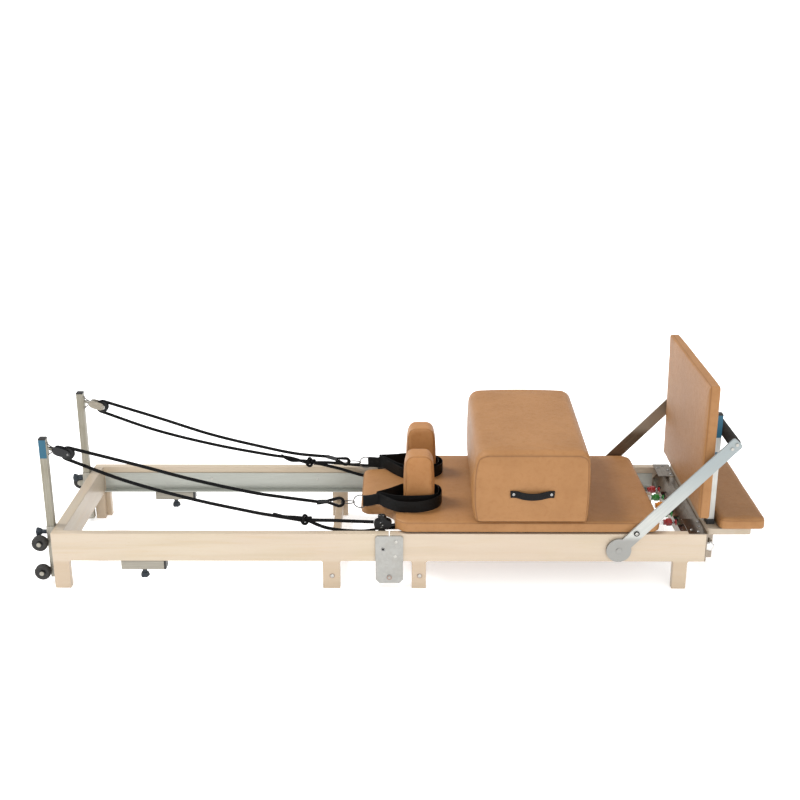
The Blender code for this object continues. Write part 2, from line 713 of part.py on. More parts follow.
def make_hinge_plates(foot, head):
    """Outer plates with their pivot pins on the foot half, inner plates on the head half."""
    half = PLATE_WIDTH / 2
    low = FOLD_PIVOT_Z - PLATE_BELOW_PIVOT
    top = low + PLATE_HEIGHT
    cut = PLATE_CHAMFER
    crown = PLATE_TOP_RADIUS
    lock = circle((-LOCK_HOLE_INSET, FOLD_PIVOT_Z + LOCK_HOLE_HEIGHT), LOCK_HOLE_RADIUS, 12)
    pin_hole = circle((0.0, FOLD_PIVOT_Z), PIVOT_RADIUS + RUNNING + 0.0001, 20)
    outer = [(-half + cut, low), (half - cut, low), (half, low + cut)]
    outer += arc((half - crown, top - crown), crown, 0, 90, 4)
    outer += arc((-half + crown, top - crown), crown, 90, 180, 4)
    outer.append((-half, low + cut))
    gap = SPLIT_GAP / 2
    inner = [(-half + cut, low), (-gap, low), (-gap, FOLD_PIVOT_Z - EAR_RADIUS)]
    inner += arc((0.0, FOLD_PIVOT_Z), EAR_RADIUS, -90, 90, 8)
    inner += [(-gap, FOLD_PIVOT_Z + EAR_RADIUS), (-gap, top)]
    inner += arc((-half + crown, top - crown), crown, 90, 180, 4)
    inner.append((-half, low + cut))
    spacer_low = FOLD_PIVOT_Z + SPACER_ABOVE_PIVOT
    spacer = [(gap, spacer_low), (half, spacer_low)]
    spacer += arc((half - crown, top - crown), crown, 0, 90, 4)
    spacer.append((gap, top))
    for side, label in SIDES:
        face = side * (HALF_WIDTH + TOUCH)
        inner_plate = prism(inner, to_xz(face), (0, side * PLATE_THICKNESS, 0), [lock, pin_hole])
        place(f"head_hinge_plate_{label}", inner_plate, "zinc", head)
        second = face + side * (PLATE_THICKNESS + PLATE_RUN)
        outside = second + side * PLATE_THICKNESS
        plate = prism(outer, to_xz(second), (0, side * PLATE_THICKNESS, 0), [lock])
        pad = prism(spacer, to_xz(face), (0, side * (PLATE_THICKNESS + PLATE_RUN + 0.001), 0))
        pin_start = face - side * (PLATE_RUN + 0.004)
        pin = lathe([(0, 0), (PIVOT_HEAD_RADIUS * 0.8, 0), (PIVOT_HEAD_RADIUS * 0.8, 0.004),
                     (PIVOT_RADIUS, 0.004), (PIVOT_RADIUS, abs(outside - pin_start) - 0.001),
                     (PIVOT_HEAD_RADIUS, abs(outside - pin_start) - 0.001),
                     (PIVOT_HEAD_RADIUS, abs(outside - pin_start) + 0.5 * PIVOT_HEAD_HEIGHT),
                     (0.6 * PIVOT_HEAD_RADIUS, abs(outside - pin_start) + PIVOT_HEAD_HEIGHT),
                     (0, abs(outside - pin_start) + PIVOT_HEAD_HEIGHT)],
                    (0, pin_start, FOLD_PIVOT_Z), (0, side, 0), 14)
        place(f"foot_hinge_plate_{label}", fuse([plate, pad, pin]), "zinc", foot)


def knob(base, axis, radius, head, neck, stem):
    """A lobed clamp knob on its screw: the stem ends at base and the head points along axis."""
    bm = bmesh.new()
    turn = Vector((0, 0, 1)).rotation_difference(Vector(axis)).to_matrix()
    steps = KNOB_LOBES * 4
    levels = (
        (0.0, None), (KNOB_STEM_RADIUS, None), (KNOB_STEM_RADIUS, stem), (KNOB_NECK_RADIUS, stem),
        (KNOB_NECK_RADIUS, stem + neck), (KNOB_FLARE * radius, stem + neck + 0.002),
        (radius, stem + neck + 0.6 * head), (radius, stem + neck + head - 0.003),
        (radius - 0.004, stem + neck + head), (0.0, stem + neck + head),
    )
    rings = []
    for index, (reach, height) in enumerate(levels):
        z = height or 0.0
        if reach == 0.0:
            rings.append([bm.verts.new(Vector(base) + turn @ Vector((0, 0, z)))])
            continue
        ring = []
        for step in range(steps):
            angle = 2 * math.pi * step / steps
            wave = KNOB_LOBE_DEPTH * (0.5 - 0.5 * math.cos(KNOB_LOBES * angle)) if index >= 5 else 0.0
            r = reach - wave
            spoke = Vector((r * math.cos(angle), r * math.sin(angle), z))
            ring.append(bm.verts.new(Vector(base) + turn @ spoke))
        rings.append(ring)
    for lower, upper in zip(rings, rings[1:]):
        for step in range(steps):
            after = (step + 1) % steps
            if len(lower) == 1:
                bm.faces.new((lower[0], upper[step], upper[after]))
            elif len(upper) == 1:
                bm.faces.new((lower[step], lower[after], upper[0]))
            else:
                bm.faces.new((lower[step], lower[after], upper[after], upper[step]))
    return bm


def make_head_end(head):
    """Post sockets with wheel ears, posts, swivelling pulley blocks, sheaves and wheels."""
    bore = POST_SIZE / 2 + POST_SLIDE_FIT
    outer = bore + SOCKET_WALL
    clamp_z = SOCKET_TOP - CLAMP_DROP
    down = Vector((math.cos(PULLEY_TILT), 0, -math.sin(PULLEY_TILT)))
    swivel_axis = Vector((math.sin(PULLEY_TILT), 0, math.cos(PULLEY_TILT)))
    for side, label in SIDES:
        y = side * POST_Y
        tube_out = rounded_rectangle((POST_X - outer, y - outer), (POST_X + outer, y + outer), 0.002, 2)
        tube_in = rounded_rectangle((POST_X - bore, y - bore), (POST_X + bore, y + bore), 0.0006, 1)
        tube = prism(tube_out, to_xy(SOCKET_BOTTOM), (0, 0, SOCKET_TOP - SOCKET_BOTTOM), [tube_in])
        wall = -HEAD_LENGTH - TOUCH
        back_low = (POST_X + bore + 0.0005, y - SOCKET_BACK_HALF, LEG_HEIGHT + 0.003)
        back_high = (wall, y + SOCKET_BACK_HALF, SOCKET_TOP - 0.016)
        pieces = [tube, block(back_low, back_high)]
        ear_face = y + side * (outer - 0.0005)
        for z in WHEEL_HEIGHTS:
            ear = [(POST_X + 0.004, z - 0.014)] + [(POST_X + 0.004, z + 0.014)]
            ear += arc((WHEEL_X, z), 0.011, 100, 260, 6)
            pieces.append(prism(ear, to_xz(ear_face), (0, side * EAR_PLATE_THICKNESS, 0)))
            length = WHEEL_HUB_WIDTH + 0.0052 + EAR_PLATE_THICKNESS
            nut = WHEEL_BORE + 0.0035
            profile = [(0, 0), (WHEEL_BORE, 0), (WHEEL_BORE, length - 0.002), (nut, length - 0.002)]
            profile += [(nut, length), (0, length + 0.0008)]
            axle = lathe(profile, (WHEEL_X, ear_face + side * 0.0005, z), (0, side, 0), 12)
            pieces.append(axle)
        socket = fuse(pieces)
        drill = prism(circle((y, clamp_z), KNOB_STEM_RADIUS + RUNNING, 12), to_yz(POST_X - outer - 0.002),
                      (SOCKET_WALL + 0.004, 0, 0))
        place(f"post_socket_{label}", cut(socket, [drill]), "steel", head)

        hub_start = ear_face + side * (EAR_PLATE_THICKNESS + 0.0008)
        for index, z in enumerate(WHEEL_HEIGHTS):
            turning = body(f"wheel_{label}_{index + 1}_body", (WHEEL_X, hub_start, z), head)
            w, r, b = WHEEL_WIDTH, WHEEL_RADIUS, WHEEL_BORE + RUNNING + 0.0002
            rim = (WHEEL_HUB_WIDTH - w) / 2
            profile = [(b, 0), (0.010, 0), (0.010, rim + 0.002), (r - 0.005, rim), (r, rim + 0.005),
                       (r, rim + w - 0.005), (r - 0.005, rim + w),
                       (0.010, rim + w - 0.002), (0.010, WHEEL_HUB_WIDTH), (b, WHEEL_HUB_WIDTH)]
            wheel = lathe(profile, (WHEEL_X, hub_start, z), (0, side, 0), 16)
            place(f"transport_wheel_{label}_{index + 1}", wheel, "tyre", turning)

        clamp_body = body(f"post_knob_{label}_body", (POST_X, y, clamp_z), head)
        start = POST_X - POST_SIZE / 2 - TOUCH
        stem = outer - POST_SIZE / 2 + 0.002
        screw = knob((start, y, clamp_z), (-1, 0, 0), KNOB_RADIUS, KNOB_HEAD, POST_KNOB_NECK, stem)
        place(f"post_knob_{label}", screw, "slate_plastic", clamp_body)

        post_body = body(f"post_{label}_body", (POST_X, y, POST_BOTTOM), head)
        tube = square_tube((POST_X, y), POST_SIZE, POST_WALL, POST_BOTTOM, POST_TOP, CAP_HEIGHT)
        face_x = POST_X + POST_SIZE / 2
        eye = Vector((face_x + LUG_REACH, y, POST_TOP - PULLEY_DROP))
        pad_low = (face_x - 0.0008, y - 0.011, eye.z - LUG_PLATE_HEIGHT / 2)
        pad_high = (face_x + LUG_PLATE_THICKNESS, y + 0.011, eye.z + LUG_PLATE_HEIGHT / 2)
        lug_outline = [(-LUG_REACH - 0.0004, -LUG_WIDTH / 2), (0.0, -LUG_WIDTH / 2)]
        lug_outline += arc((0.0, 0.0), LUG_WIDTH / 2, -75, 75, 6)
        lug_outline += [(0.0, LUG_WIDTH / 2), (-LUG_REACH - 0.0004, LUG_WIDTH / 2)]
        lug_plane = tilted_plane(eye, down, swivel_axis, -LUG_THICKNESS / 2)
        hole = circle((0.0, 0.0), SWIVEL_RADIUS + RUNNING + 0.0001, 14)
        lug = prism(lug_outline, lug_plane, swivel_axis * LUG_THICKNESS, [hole])
        place(f"post_{label}", fuse([tube, block(pad_low, pad_high), lug]), "steel", post_body)

        swivel = body(f"pulley_{label}_body", tuple(eye), post_body)
        place(f"pulley_block_{label}", pulley_block(eye, down, swivel_axis), "black_plastic", swivel)
        sheave_at = eye + down * PULLEY_REACH
        turning = body(f"sheave_{label}_body", tuple(sheave_at), swivel)
        w = SHEAVE_WIDTH / 2
        b = SHEAVE_PIN + RUNNING + 0.0001
        floor = SHEAVE_GROOVE_HALF
        profile = [(b, -w), (SHEAVE_RADIUS - 0.002, -w), (SHEAVE_RADIUS, -w + 0.001), (SHEAVE_GROOVE, -floor),
                   (SHEAVE_GROOVE, floor), (SHEAVE_RADIUS, w - 0.001),
                   (SHEAVE_RADIUS - 0.002, w), (b, w)]
        place(f"sheave_{label}", lathe(profile, sheave_at, (0, 1, 0), 18), "black_plastic", turning)


def tilted_plane(centre, along, normal, offset):
    """Map (u, v) to a plane through centre, u along the block and v across it in Y."""
    return lambda u, v: Vector(centre) + along * u + Vector((0, 1, 0)) * v + normal * offset


def rod(radius, reach, centre, axis, sides):
    """A round bar that reaches equally far both ways from its centre."""
    return lathe([(0, -reach), (radius, -reach), (radius, reach), (0, reach)], centre, axis, sides)


def pulley_block(eye, along, normal):
    """Two cheeks joined by a web, a fork and pin round the post's lug, and the sheave pin."""
    inner = CHEEK_GAP / 2
    outer = inner + CHEEK_THICKNESS
    web_end = PULLEY_REACH - SHEAVE_RADIUS - ROPE_DIAMETER - 0.0015
    web_start = LUG_WIDTH / 2 + 0.003
    pieces = []
    for side in (NEAR, FAR):
        half = CHEEK_HEIGHT / 2
        outline = [(web_start, -half * 0.7), (PULLEY_REACH * 0.55, -half)]
        outline += arc((PULLEY_REACH, 0.0), half * 0.9, -90, 90, 6)
        outline += [(PULLEY_REACH * 0.55, half), (web_start, half * 0.7)]
        face = side * inner

        def plane(u, v, face=face):
            return Vector(eye) + along * u + normal * v + Vector((0, face, 0))

        pieces.append(prism(outline, plane, (0, side * CHEEK_THICKNESS, 0)))
    web = [(web_start + 0.0005, -outer + 0.001), (web_end, -outer + 0.001), (web_end, outer - 0.001),
           (web_start + 0.0005, outer - 0.001)]
    low = tilted_plane(eye, along, normal, -CHEEK_HEIGHT * 0.34)
    pieces.append(prism(web, low, normal * CHEEK_HEIGHT * 0.68))
    fork = arc((0.0, 0.0), LUG_WIDTH / 2 + 0.0005, 90, 270, 6)
    fork += [(web_start + 0.002, -LUG_WIDTH / 2 - 0.0005), (web_start + 0.002, LUG_WIDTH / 2 + 0.0005)]
    lip = LUG_THICKNESS / 2 + 0.0006
    for direction in (-1, 1):
        level = tilted_plane(eye, along, normal, direction * lip)
        pieces.append(prism(fork, level, normal * direction * 0.003))
    pieces.append(rod(SWIVEL_RADIUS, lip + 0.002, eye, normal, 14))
    axle_at = Vector(eye) + along * PULLEY_REACH
    pieces.append(rod(SHEAVE_PIN, outer + 0.001, axle_at, (0, 1, 0), 12))
    return fuse(pieces)


def cut(bm, cutters):
    """Subtract closed meshes from a mesh and return the result as a bmesh."""
    objects = []
    for index, shape in enumerate([bm, *cutters]):
        bmesh.ops.remove_doubles(shape, verts=shape.verts, dist=0.00001)
        bmesh.ops.recalc_face_normals(shape, faces=shape.faces)
        mesh = bpy.data.meshes.new(f"cut_{index}")
        shape.to_mesh(mesh)
        shape.free()
        piece = bpy.data.objects.new(f"cut_{index}", mesh)
        bpy.context.collection.objects.link(piece)
        objects.append(piece)
    base = objects[0]
    for cutter in objects[1:]:
        cutter.hide_render = True
        cutter.display_type = "WIRE"
        difference = base.modifiers.new("cut", "BOOLEAN")
        difference.operation = "DIFFERENCE"
        difference.solver = "EXACT"
        difference.object = cutter
    evaluated = base.evaluated_get(bpy.context.evaluated_depsgraph_get())
    result = bmesh.new()
    result.from_mesh(evaluated.to_mesh())
    evaluated.to_mesh_clear()
    for piece in objects:
        bpy.data.objects.remove(piece, do_unlink=True)
    return result


def make_sleeves(head):
    """Tubes under the head rails that hold a pole, each with a clamp knob below."""
    end = -SLEEVE_START
    start = end - SLEEVE_LENGTH
    top = LEG_HEIGHT - TOUCH
    bottom = top - SLEEVE_HEIGHT
    knob_x = (start + end) / 2 + 0.002
    for side, label in SIDES:
        near_face = side * HALF_WIDTH
        far_face = near_face - side * SLEEVE_WIDTH
        y0, y1 = sorted((near_face, far_face))
        outer = rounded_rectangle((y0, bottom), (y1, top), 0.002, 2)
        bore_low = (y0 + SLEEVE_WALL, bottom + SLEEVE_WALL)
        inner = rounded_rectangle(bore_low, (y1 - SLEEVE_WALL, top - SLEEVE_WALL), 0.001, 1)
        tube = prism(outer, to_yz(start), (SLEEVE_LENGTH, 0, 0), [inner])
        plug = block((end - 0.006, y0 + 0.0005, bottom + 0.0005), (end + SLEEVE_CAP, y1 - 0.0005, top - 0.0005))
        sleeve = fuse([tube, plug])
        middle = (y0 + y1) / 2
        hole = circle((knob_x, middle), KNOB_STEM_RADIUS + RUNNING, 12)
        drill = prism(hole, to_xy(bottom - 0.004), (0, 0, 0.008))
        place(f"storage_sleeve_{label}", cut(sleeve, [drill]), "steel", head)
        tip = bottom + SLEEVE_WALL + 0.002
        turning = body(f"storage_knob_{label}_body", (knob_x, middle, bottom), head)
        screw = knob((knob_x, middle, tip), (0, 0, -1), KNOB_RADIUS, KNOB_HEAD, KNOB_NECK, SLEEVE_WALL + 0.006)
        place(f"storage_knob_{label}", screw, "slate_plastic", turning)


def make_foot_end(foot):
    """The folded spring channel with its corner plates and jump board sockets, and the platform."""
    reach = RAIL_INNER - TOUCH
    t = SHEET
    ridge = RAIL_TOP - 0.0005
    x0 = CHANNEL_START
    x1 = FOOT_LENGTH - CHANNEL_END_FIT
    slope = (ridge - CHANNEL_SHOULDER) / (CHANNEL_RIDGE_X - x0)
    shift = t * math.sqrt(1 + slope * slope)
    section = [(x0, CHANNEL_BOTTOM), (x0, CHANNEL_SHOULDER), (CHANNEL_RIDGE_X, ridge), (x1, ridge),
               (x1, ridge - t), (CHANNEL_RIDGE_X + 0.001, ridge - t),
               (x0 + t, CHANNEL_SHOULDER + t * slope - shift), (x0 + t, CHANNEL_BOTTOM)]
    pieces = [prism(section, to_xz(-reach), (0, 2 * reach, 0))]
    plate_low = RAIL_TOP + TOUCH
    flange = FOOT_LENGTH + TOUCH
    bore = POST_SIZE / 2 + POST_SLIDE_FIT
    outer = bore + SOCKET_WALL
    for side, label in SIDES:
        y0, y1 = sorted((side * CORNER_PLATE_INNER, side * (HALF_WIDTH - TOUCH)))
        start = FOOT_LENGTH - CORNER_PLATE_LENGTH
        pieces.append(block((start, y0, plate_low), (flange + t, y1, plate_low + CORNER_PLATE)))
        pieces.append(block((flange, y0, LEG_HEIGHT + TOUCH), (flange + t, y1, plate_low + CORNER_PLATE)))
        bridge_low, bridge_high = sorted((side * CORNER_PLATE_INNER, side * (reach - 0.010)))
        bridge_start = (CHANNEL_RIDGE_X + 0.004, bridge_low, ridge - 0.0010)
        pieces.append(block(bridge_start, (x1 - 0.001, bridge_high, plate_low + 0.001)))
        y = side * JUMP_POST_Y
        tube_out = rounded_rectangle((flange + 0.001, y - outer), (JUMP_POST_X + outer, y + outer), 0.002, 2)
        tube_in = rounded_rectangle((JUMP_POST_X - bore, y - bore), (JUMP_POST_X + bore, y + bore), 0.0006, 1)
        height = JUMP_SOCKET_TOP - JUMP_SOCKET_BOTTOM
        pieces.append(prism(tube_out, to_xy(JUMP_SOCKET_BOTTOM), (0, 0, height), [tube_in]))
    clamp_z = JUMP_SOCKET_TOP - JUMP_CLAMP_DROP
    drills = []
    for side, label in SIDES:
        wall = side * (JUMP_POST_Y + bore)
        hole = circle((JUMP_POST_X, clamp_z), KNOB_STEM_RADIUS + RUNNING, 12)
        drills.append(prism(hole, to_xz(wall - side * 0.002), (0, side * (SOCKET_WALL + 0.004), 0)))
    place("foot_end_bracket", cut(fuse(pieces), drills), "stainless", foot)
    for side, label in SIDES:
        turning = body(f"jump_knob_{label}_body", (JUMP_POST_X, side * JUMP_POST_Y, clamp_z), foot)
        tip = side * (JUMP_POST_Y + POST_SIZE / 2 + TOUCH)
        screw = knob((JUMP_POST_X, tip, clamp_z), (0, side, 0), JUMP_KNOB_RADIUS, JUMP_KNOB_HEAD,
                     JUMP_KNOB_NECK, SOCKET_WALL + 0.002)
        place(f"jump_knob_{label}", screw, "stainless", turning)

    start = flange + t + TOUCH
    board_end = start + BOARD_DEPTH
    board = rounded_rectangle((start, -BOARD_HALF_WIDTH), (board_end, BOARD_HALF_WIDTH), BOARD_CORNER, 4)
    room = POST_SIZE / 2 + 0.0015
    holes = []
    for side, label in SIDES:
        y = side * JUMP_POST_Y
        holes.append([(JUMP_POST_X - room, y - room), (JUMP_POST_X + room, y - room),
                      (JUMP_POST_X + room, y + room), (JUMP_POST_X - room, y + room)])
    solid = prism(board, to_xy(BOARD_BOTTOM), (0, 0, BOARD_THICKNESS), holes)
    place("platform_board", solid, "maple", foot)
    outline = rounded_rectangle((PLATFORM_PAD_START, -PLATFORM_PAD_HALF_WIDTH),
                                (PLATFORM_PAD_END, PLATFORM_PAD_HALF_WIDTH), PLATFORM_PAD_CORNER, 4)
    pad = cushion(outline, PLATFORM_PAD_THICKNESS, to_xy(BOARD_TOP + TOUCH), (0, 0, 1), PAD_CROWN, 0.002)
    place("platform_pad", pad, "vinyl", foot)


def make_jump_board(foot):
    """Two posts welded to crossbars, and the upright pad they carry."""
    lift = body("jump_board_body", (JUMP_POST_X, 0, JUMP_POST_BOTTOM), foot)
    pieces = []
    x = JUMP_POST_X
    half = POST_SIZE / 2
    inside = half - 0.0008
    size = COLLAR_SIZE / 2
    for side, label in SIDES:
        y = side * JUMP_POST_Y
        post = square_tube((x, y), POST_SIZE, POST_WALL, JUMP_POST_BOTTOM, JUMP_POST_TOP, CAP_HEIGHT)
        collar_low = (x - half - 0.0015, y - size)
        collar_out = rounded_rectangle(collar_low, (x + half + 0.0020, y + size), 0.0010, 1)
        collar_in = [(x - inside, y - inside), (x + inside, y - inside)]
        collar_in += [(x + inside, y + inside), (x - inside, y + inside)]
        collar = prism(collar_out, to_xy(BOARD_TOP + TOUCH), (0, 0, COLLAR_HEIGHT), [collar_in])
        pieces += [post, collar]
    for z in CROSSBAR_LEVELS:
        reach = JUMP_POST_Y - half + 0.001
        pieces.append(block((x - half + 0.001, -reach, z), (x - half + 0.007, reach, z + CROSSBAR_HEIGHT)))
    place("jump_frame", fuse(pieces), "steel", lift)
    back = JUMP_POST_X - half - 0.0008 - TOUCH
    pad_low = (-JUMP_PAD_HALF_WIDTH, JUMP_PAD_BOTTOM)
    outline = rounded_rectangle(pad_low, (JUMP_PAD_HALF_WIDTH, JUMP_PAD_TOP), 0.014, 4)
    pad = cushion(outline, JUMP_PAD_THICKNESS, to_yz(back), (-1, 0, 0), PAD_CROWN, 0.001)
    place("jump_pad", pad, "vinyl", lift)


def make_foot_bar(foot):
    """Two flat arms outside the rails, a cross tube in foam, and pins in the rails."""
    swing = body("foot_bar_body", (BAR_PIVOT_X, 0, BAR_PIVOT_Z), foot)
    along = Vector((math.cos(BAR_ANGLE), 0, math.sin(BAR_ANGLE)))
    across = Vector((-math.sin(BAR_ANGLE), 0, math.cos(BAR_ANGLE)))
    pivot = Vector((BAR_PIVOT_X, 0, BAR_PIVOT_Z))
    top = pivot + along * BAR_LENGTH
    half = BAR_WIDTH / 2
    pieces = []
    spread = math.degrees(math.asin(half / BAR_SECTOR_RADIUS))
    outline = arc((0.0, 0.0), BAR_SECTOR_RADIUS, spread, 360 - spread, 16)
    corner = BAR_LENGTH + BAR_END_REACH - BAR_END_CORNER
    outline += arc((corner, BAR_END_CORNER - half), BAR_END_CORNER, -90, 0, 4)
    outline += arc((corner, half - BAR_END_CORNER), BAR_END_CORNER, 0, 90, 4)
    for side, label in SIDES:
        inside = side * BAR_Y

        def plane(u, v, inside=inside):
            return pivot + along * u + across * v + Vector((0, inside, 0))

        pieces.append(prism(outline, plane, (0, side * BAR_THICKNESS, 0)))
        start = side * (RAIL_INNER + 0.004)
        length = BAR_Y + BAR_THICKNESS - RAIL_INNER - 0.004
        head = length + BAR_BOLT_HEIGHT
        profile = [(0, 0), (BAR_PIN_RADIUS, 0), (BAR_PIN_RADIUS, length - 0.001)]
        profile += [(BAR_BOLT_RADIUS, length - 0.001), (BAR_BOLT_RADIUS, length + 0.6 * BAR_BOLT_HEIGHT)]
        profile += [(0.7 * BAR_BOLT_RADIUS, head), (0, head)]
        pieces.append(lathe(profile, pivot + Vector((0, start, 0)), (0, side, 0), 14))
    reach = BAR_Y + 0.002
    pieces.append(rod(BAR_TUBE_RADIUS, reach, top, (0, 1, 0), 16))
    place("foot_bar", fuse(pieces), "aluminium", swing)
    end = BAR_Y - GRIP_END_GAP
    bore = BAR_TUBE_RADIUS + TOUCH + 0.0002
    profile = [(bore, -end), (GRIP_RADIUS - 0.002, -end), (GRIP_RADIUS, -end + 0.002)]
    profile += [(GRIP_RADIUS, end - 0.002), (GRIP_RADIUS - 0.002, end), (bore, end)]
    grip = lathe(profile, top, (0, 1, 0), 16)
    place("foam_grip", grip, "foam", swing)


def carriage_outline():
    """The pad seen from above: wide body, shoulders and headrest tongue, counter-clockwise."""
    w = HALF_WIDTH
    r = PAD_CORNER
    flare = TONGUE_FLARE
    hip = TONGUE_HALF_WIDTH
    corner = TONGUE_CORNER
    half = [(CARRIAGE_START + SHOULDER_CHAMFER_X, -w)]
    half += arc((CARRIAGE_END - r, -w + r), r, -90, 0, 5)
    right = half
    left = [(TONGUE_TIP, -hip + corner)]
    left = arc((TONGUE_TIP + corner, -hip + corner), corner, 180, 270, 5)
    left += arc((CARRIAGE_START - flare, -hip - flare), flare, 90, 0, 5)
    left += [(CARRIAGE_START, -w + SHOULDER_CHAMFER_Y)]
    lower = left + right
    upper = [(x, -y) for x, y in reversed(lower)]
    return lower + upper


def make_carriage(carriage):
    pad = cushion(carriage_outline(), PAD_THICKNESS, to_xy(PAD_BOTTOM), (0, 0, 1), PAD_CROWN, 0.003)
    place("carriage_pad", pad, "vinyl", carriage)

    deck_top = PAD_BOTTOM - TOUCH
    deck_low = deck_top - DECK_THICKNESS
    tongue = TONGUE_HALF_WIDTH - DECK_TONGUE_INSET
    tip = TONGUE_TIP + DECK_TONGUE_INSET
    end = CARRIAGE_END - DECK_END_INSET
    deck = [(tip, -tongue), (DECK_START, -tongue), (DECK_START, -DECK_HALF_WIDTH), (end, -DECK_HALF_WIDTH),
            (end, DECK_HALF_WIDTH), (DECK_START, DECK_HALF_WIDTH), (DECK_START, tongue), (tip, tongue)]
    pieces = [prism(deck, to_xy(deck_low), (0, 0, DECK_THICKNESS))]
    half = SIDE_MEMBER_THICKNESS / 2
    for side, label in SIDES:
        y = side * SIDE_MEMBER_Y
        outline = [(DECK_START + 0.02, deck_low + 0.001), (DECK_START + 0.05, SIDE_MEMBER_BOTTOM),
                   (end - 0.05, SIDE_MEMBER_BOTTOM), (end - 0.02, deck_low + 0.001)]
        holes = [circle((x, ROLLER_Z), AXLE_RADIUS + RUNNING + 0.0003, 14) for x in AXLE_POSITIONS]
        pieces.append(prism(outline, to_xz(y - half), (0, SIDE_MEMBER_THICKNESS, 0), holes))
        pieces.append(cleat(side))
        bracket_y = side * CLEAT_Y
        tab_low = (CLEAT_X - 0.020, bracket_y - 0.010)
        tab = rounded_rectangle(tab_low, (DECK_START + 0.016, bracket_y + 0.010), 0.004, 2)
        pieces.append(prism(tab, to_xy(deck_top - CLEAT_BRACKET), (0, 0, CLEAT_BRACKET)))
    reach = SIDE_MEMBER_Y - half + 0.001
    bar_low = SPRING_Z - 0.013
    bar_start = SPRING_ANCHOR - SPRING_ANCHOR_BAR
    pieces.append(block((bar_start, -reach, bar_low), (SPRING_ANCHOR, reach, deck_low + 0.001)))
    place("carriage_chassis", fuse(pieces), "plywood", carriage)

    for index, x in enumerate(AXLE_POSITIONS):
        rolling = body(f"carriage_axle_{index + 1}_body", (x, 0, ROLLER_Z), carriage)
        outer = RAIL_INNER - TRACK_THICKNESS - 0.004
        inner = outer - ROLLER_WIDTH
        r = ROLLER_RADIUS
        end_profile = [(AXLE_RADIUS, inner), (r - 0.002, inner), (r, inner + 0.002), (r, outer - 0.002),
                       (r - 0.002, outer), (0, outer)]
        start_profile = [(radius, -height) for radius, height in reversed(end_profile)]
        axle = lathe(start_profile + end_profile, (x, 0, ROLLER_Z), (0, 1, 0), 16)
        place(f"carriage_axle_{index + 1}", axle, "black_plastic", rolling)


def cleat(side):
    """The rope cleat beside the headrest: a lobed block standing on its bracket."""
    low = PAD_BOTTOM - TOUCH - 0.001
    w = CLEAT_WIDTH / 2
    h = CLEAT_HEIGHT
    x = CLEAT_X
    outline = [(x - w * 0.55, low), (x + w * 0.45, low)]
    outline += arc((x + w * 0.52, low + 0.36 * h), 0.36 * h, -60, 80, 4)
    outline += arc((x + 0.001, low + h - 0.011), 0.011, 0, 180, 6)
    outline += arc((x - w * 0.62, low + 0.36 * h), 0.34 * h, 100, 240, 4)
    y = side * CLEAT_Y
    return prism(outline, to_xz(y - CLEAT_DEPTH / 2), (0, CLEAT_DEPTH, 0))


def make_rests(carriage):
    bottom = PAD_TOP + TOUCH
    for side, label in SIDES:
        y = side * REST_SPACING / 2
        lift = body(f"shoulder_rest_{label}_body", (REST_START + REST_LENGTH / 2, y, bottom), carriage)
        right = REST_START + REST_LENGTH
        r = REST_TOP_RADIUS
        top = bottom + REST_HEIGHT
        outline = [(REST_START + 0.004, bottom), (right - 0.004, bottom), (right, bottom + 0.006)]
        outline += arc((right - REST_TAPER - r, top - r), r, 0, 90, 5)
        outline += arc((REST_START + REST_TAPER + r, top - r), r, 90, 180, 5)
        outline.append((REST_START, bottom + 0.006))
        half = REST_WIDTH / 2
        edge = 0.005
        bm = bmesh.new()
        rings = []
        steps = ((edge, -half), (0.0, -half + edge), (-0.001, 0.0), (0.0, half - edge), (edge, half))
        for inset, offset in steps:
            moved = inset_outline(outline, inset)
            rings.append([bm.verts.new((px, y + offset, max(pz, bottom))) for px, pz in moved])
        for lower, upper in zip(rings, rings[1:]):
            for index in range(len(lower)):
                after = (index + 1) % len(lower)
                bm.faces.new((lower[index], lower[after], upper[after], upper[index]))
        bm.faces.new(rings[0])
        bm.faces.new(rings[-1])
        place(f"shoulder_rest_{label}", bm, "vinyl", lift)


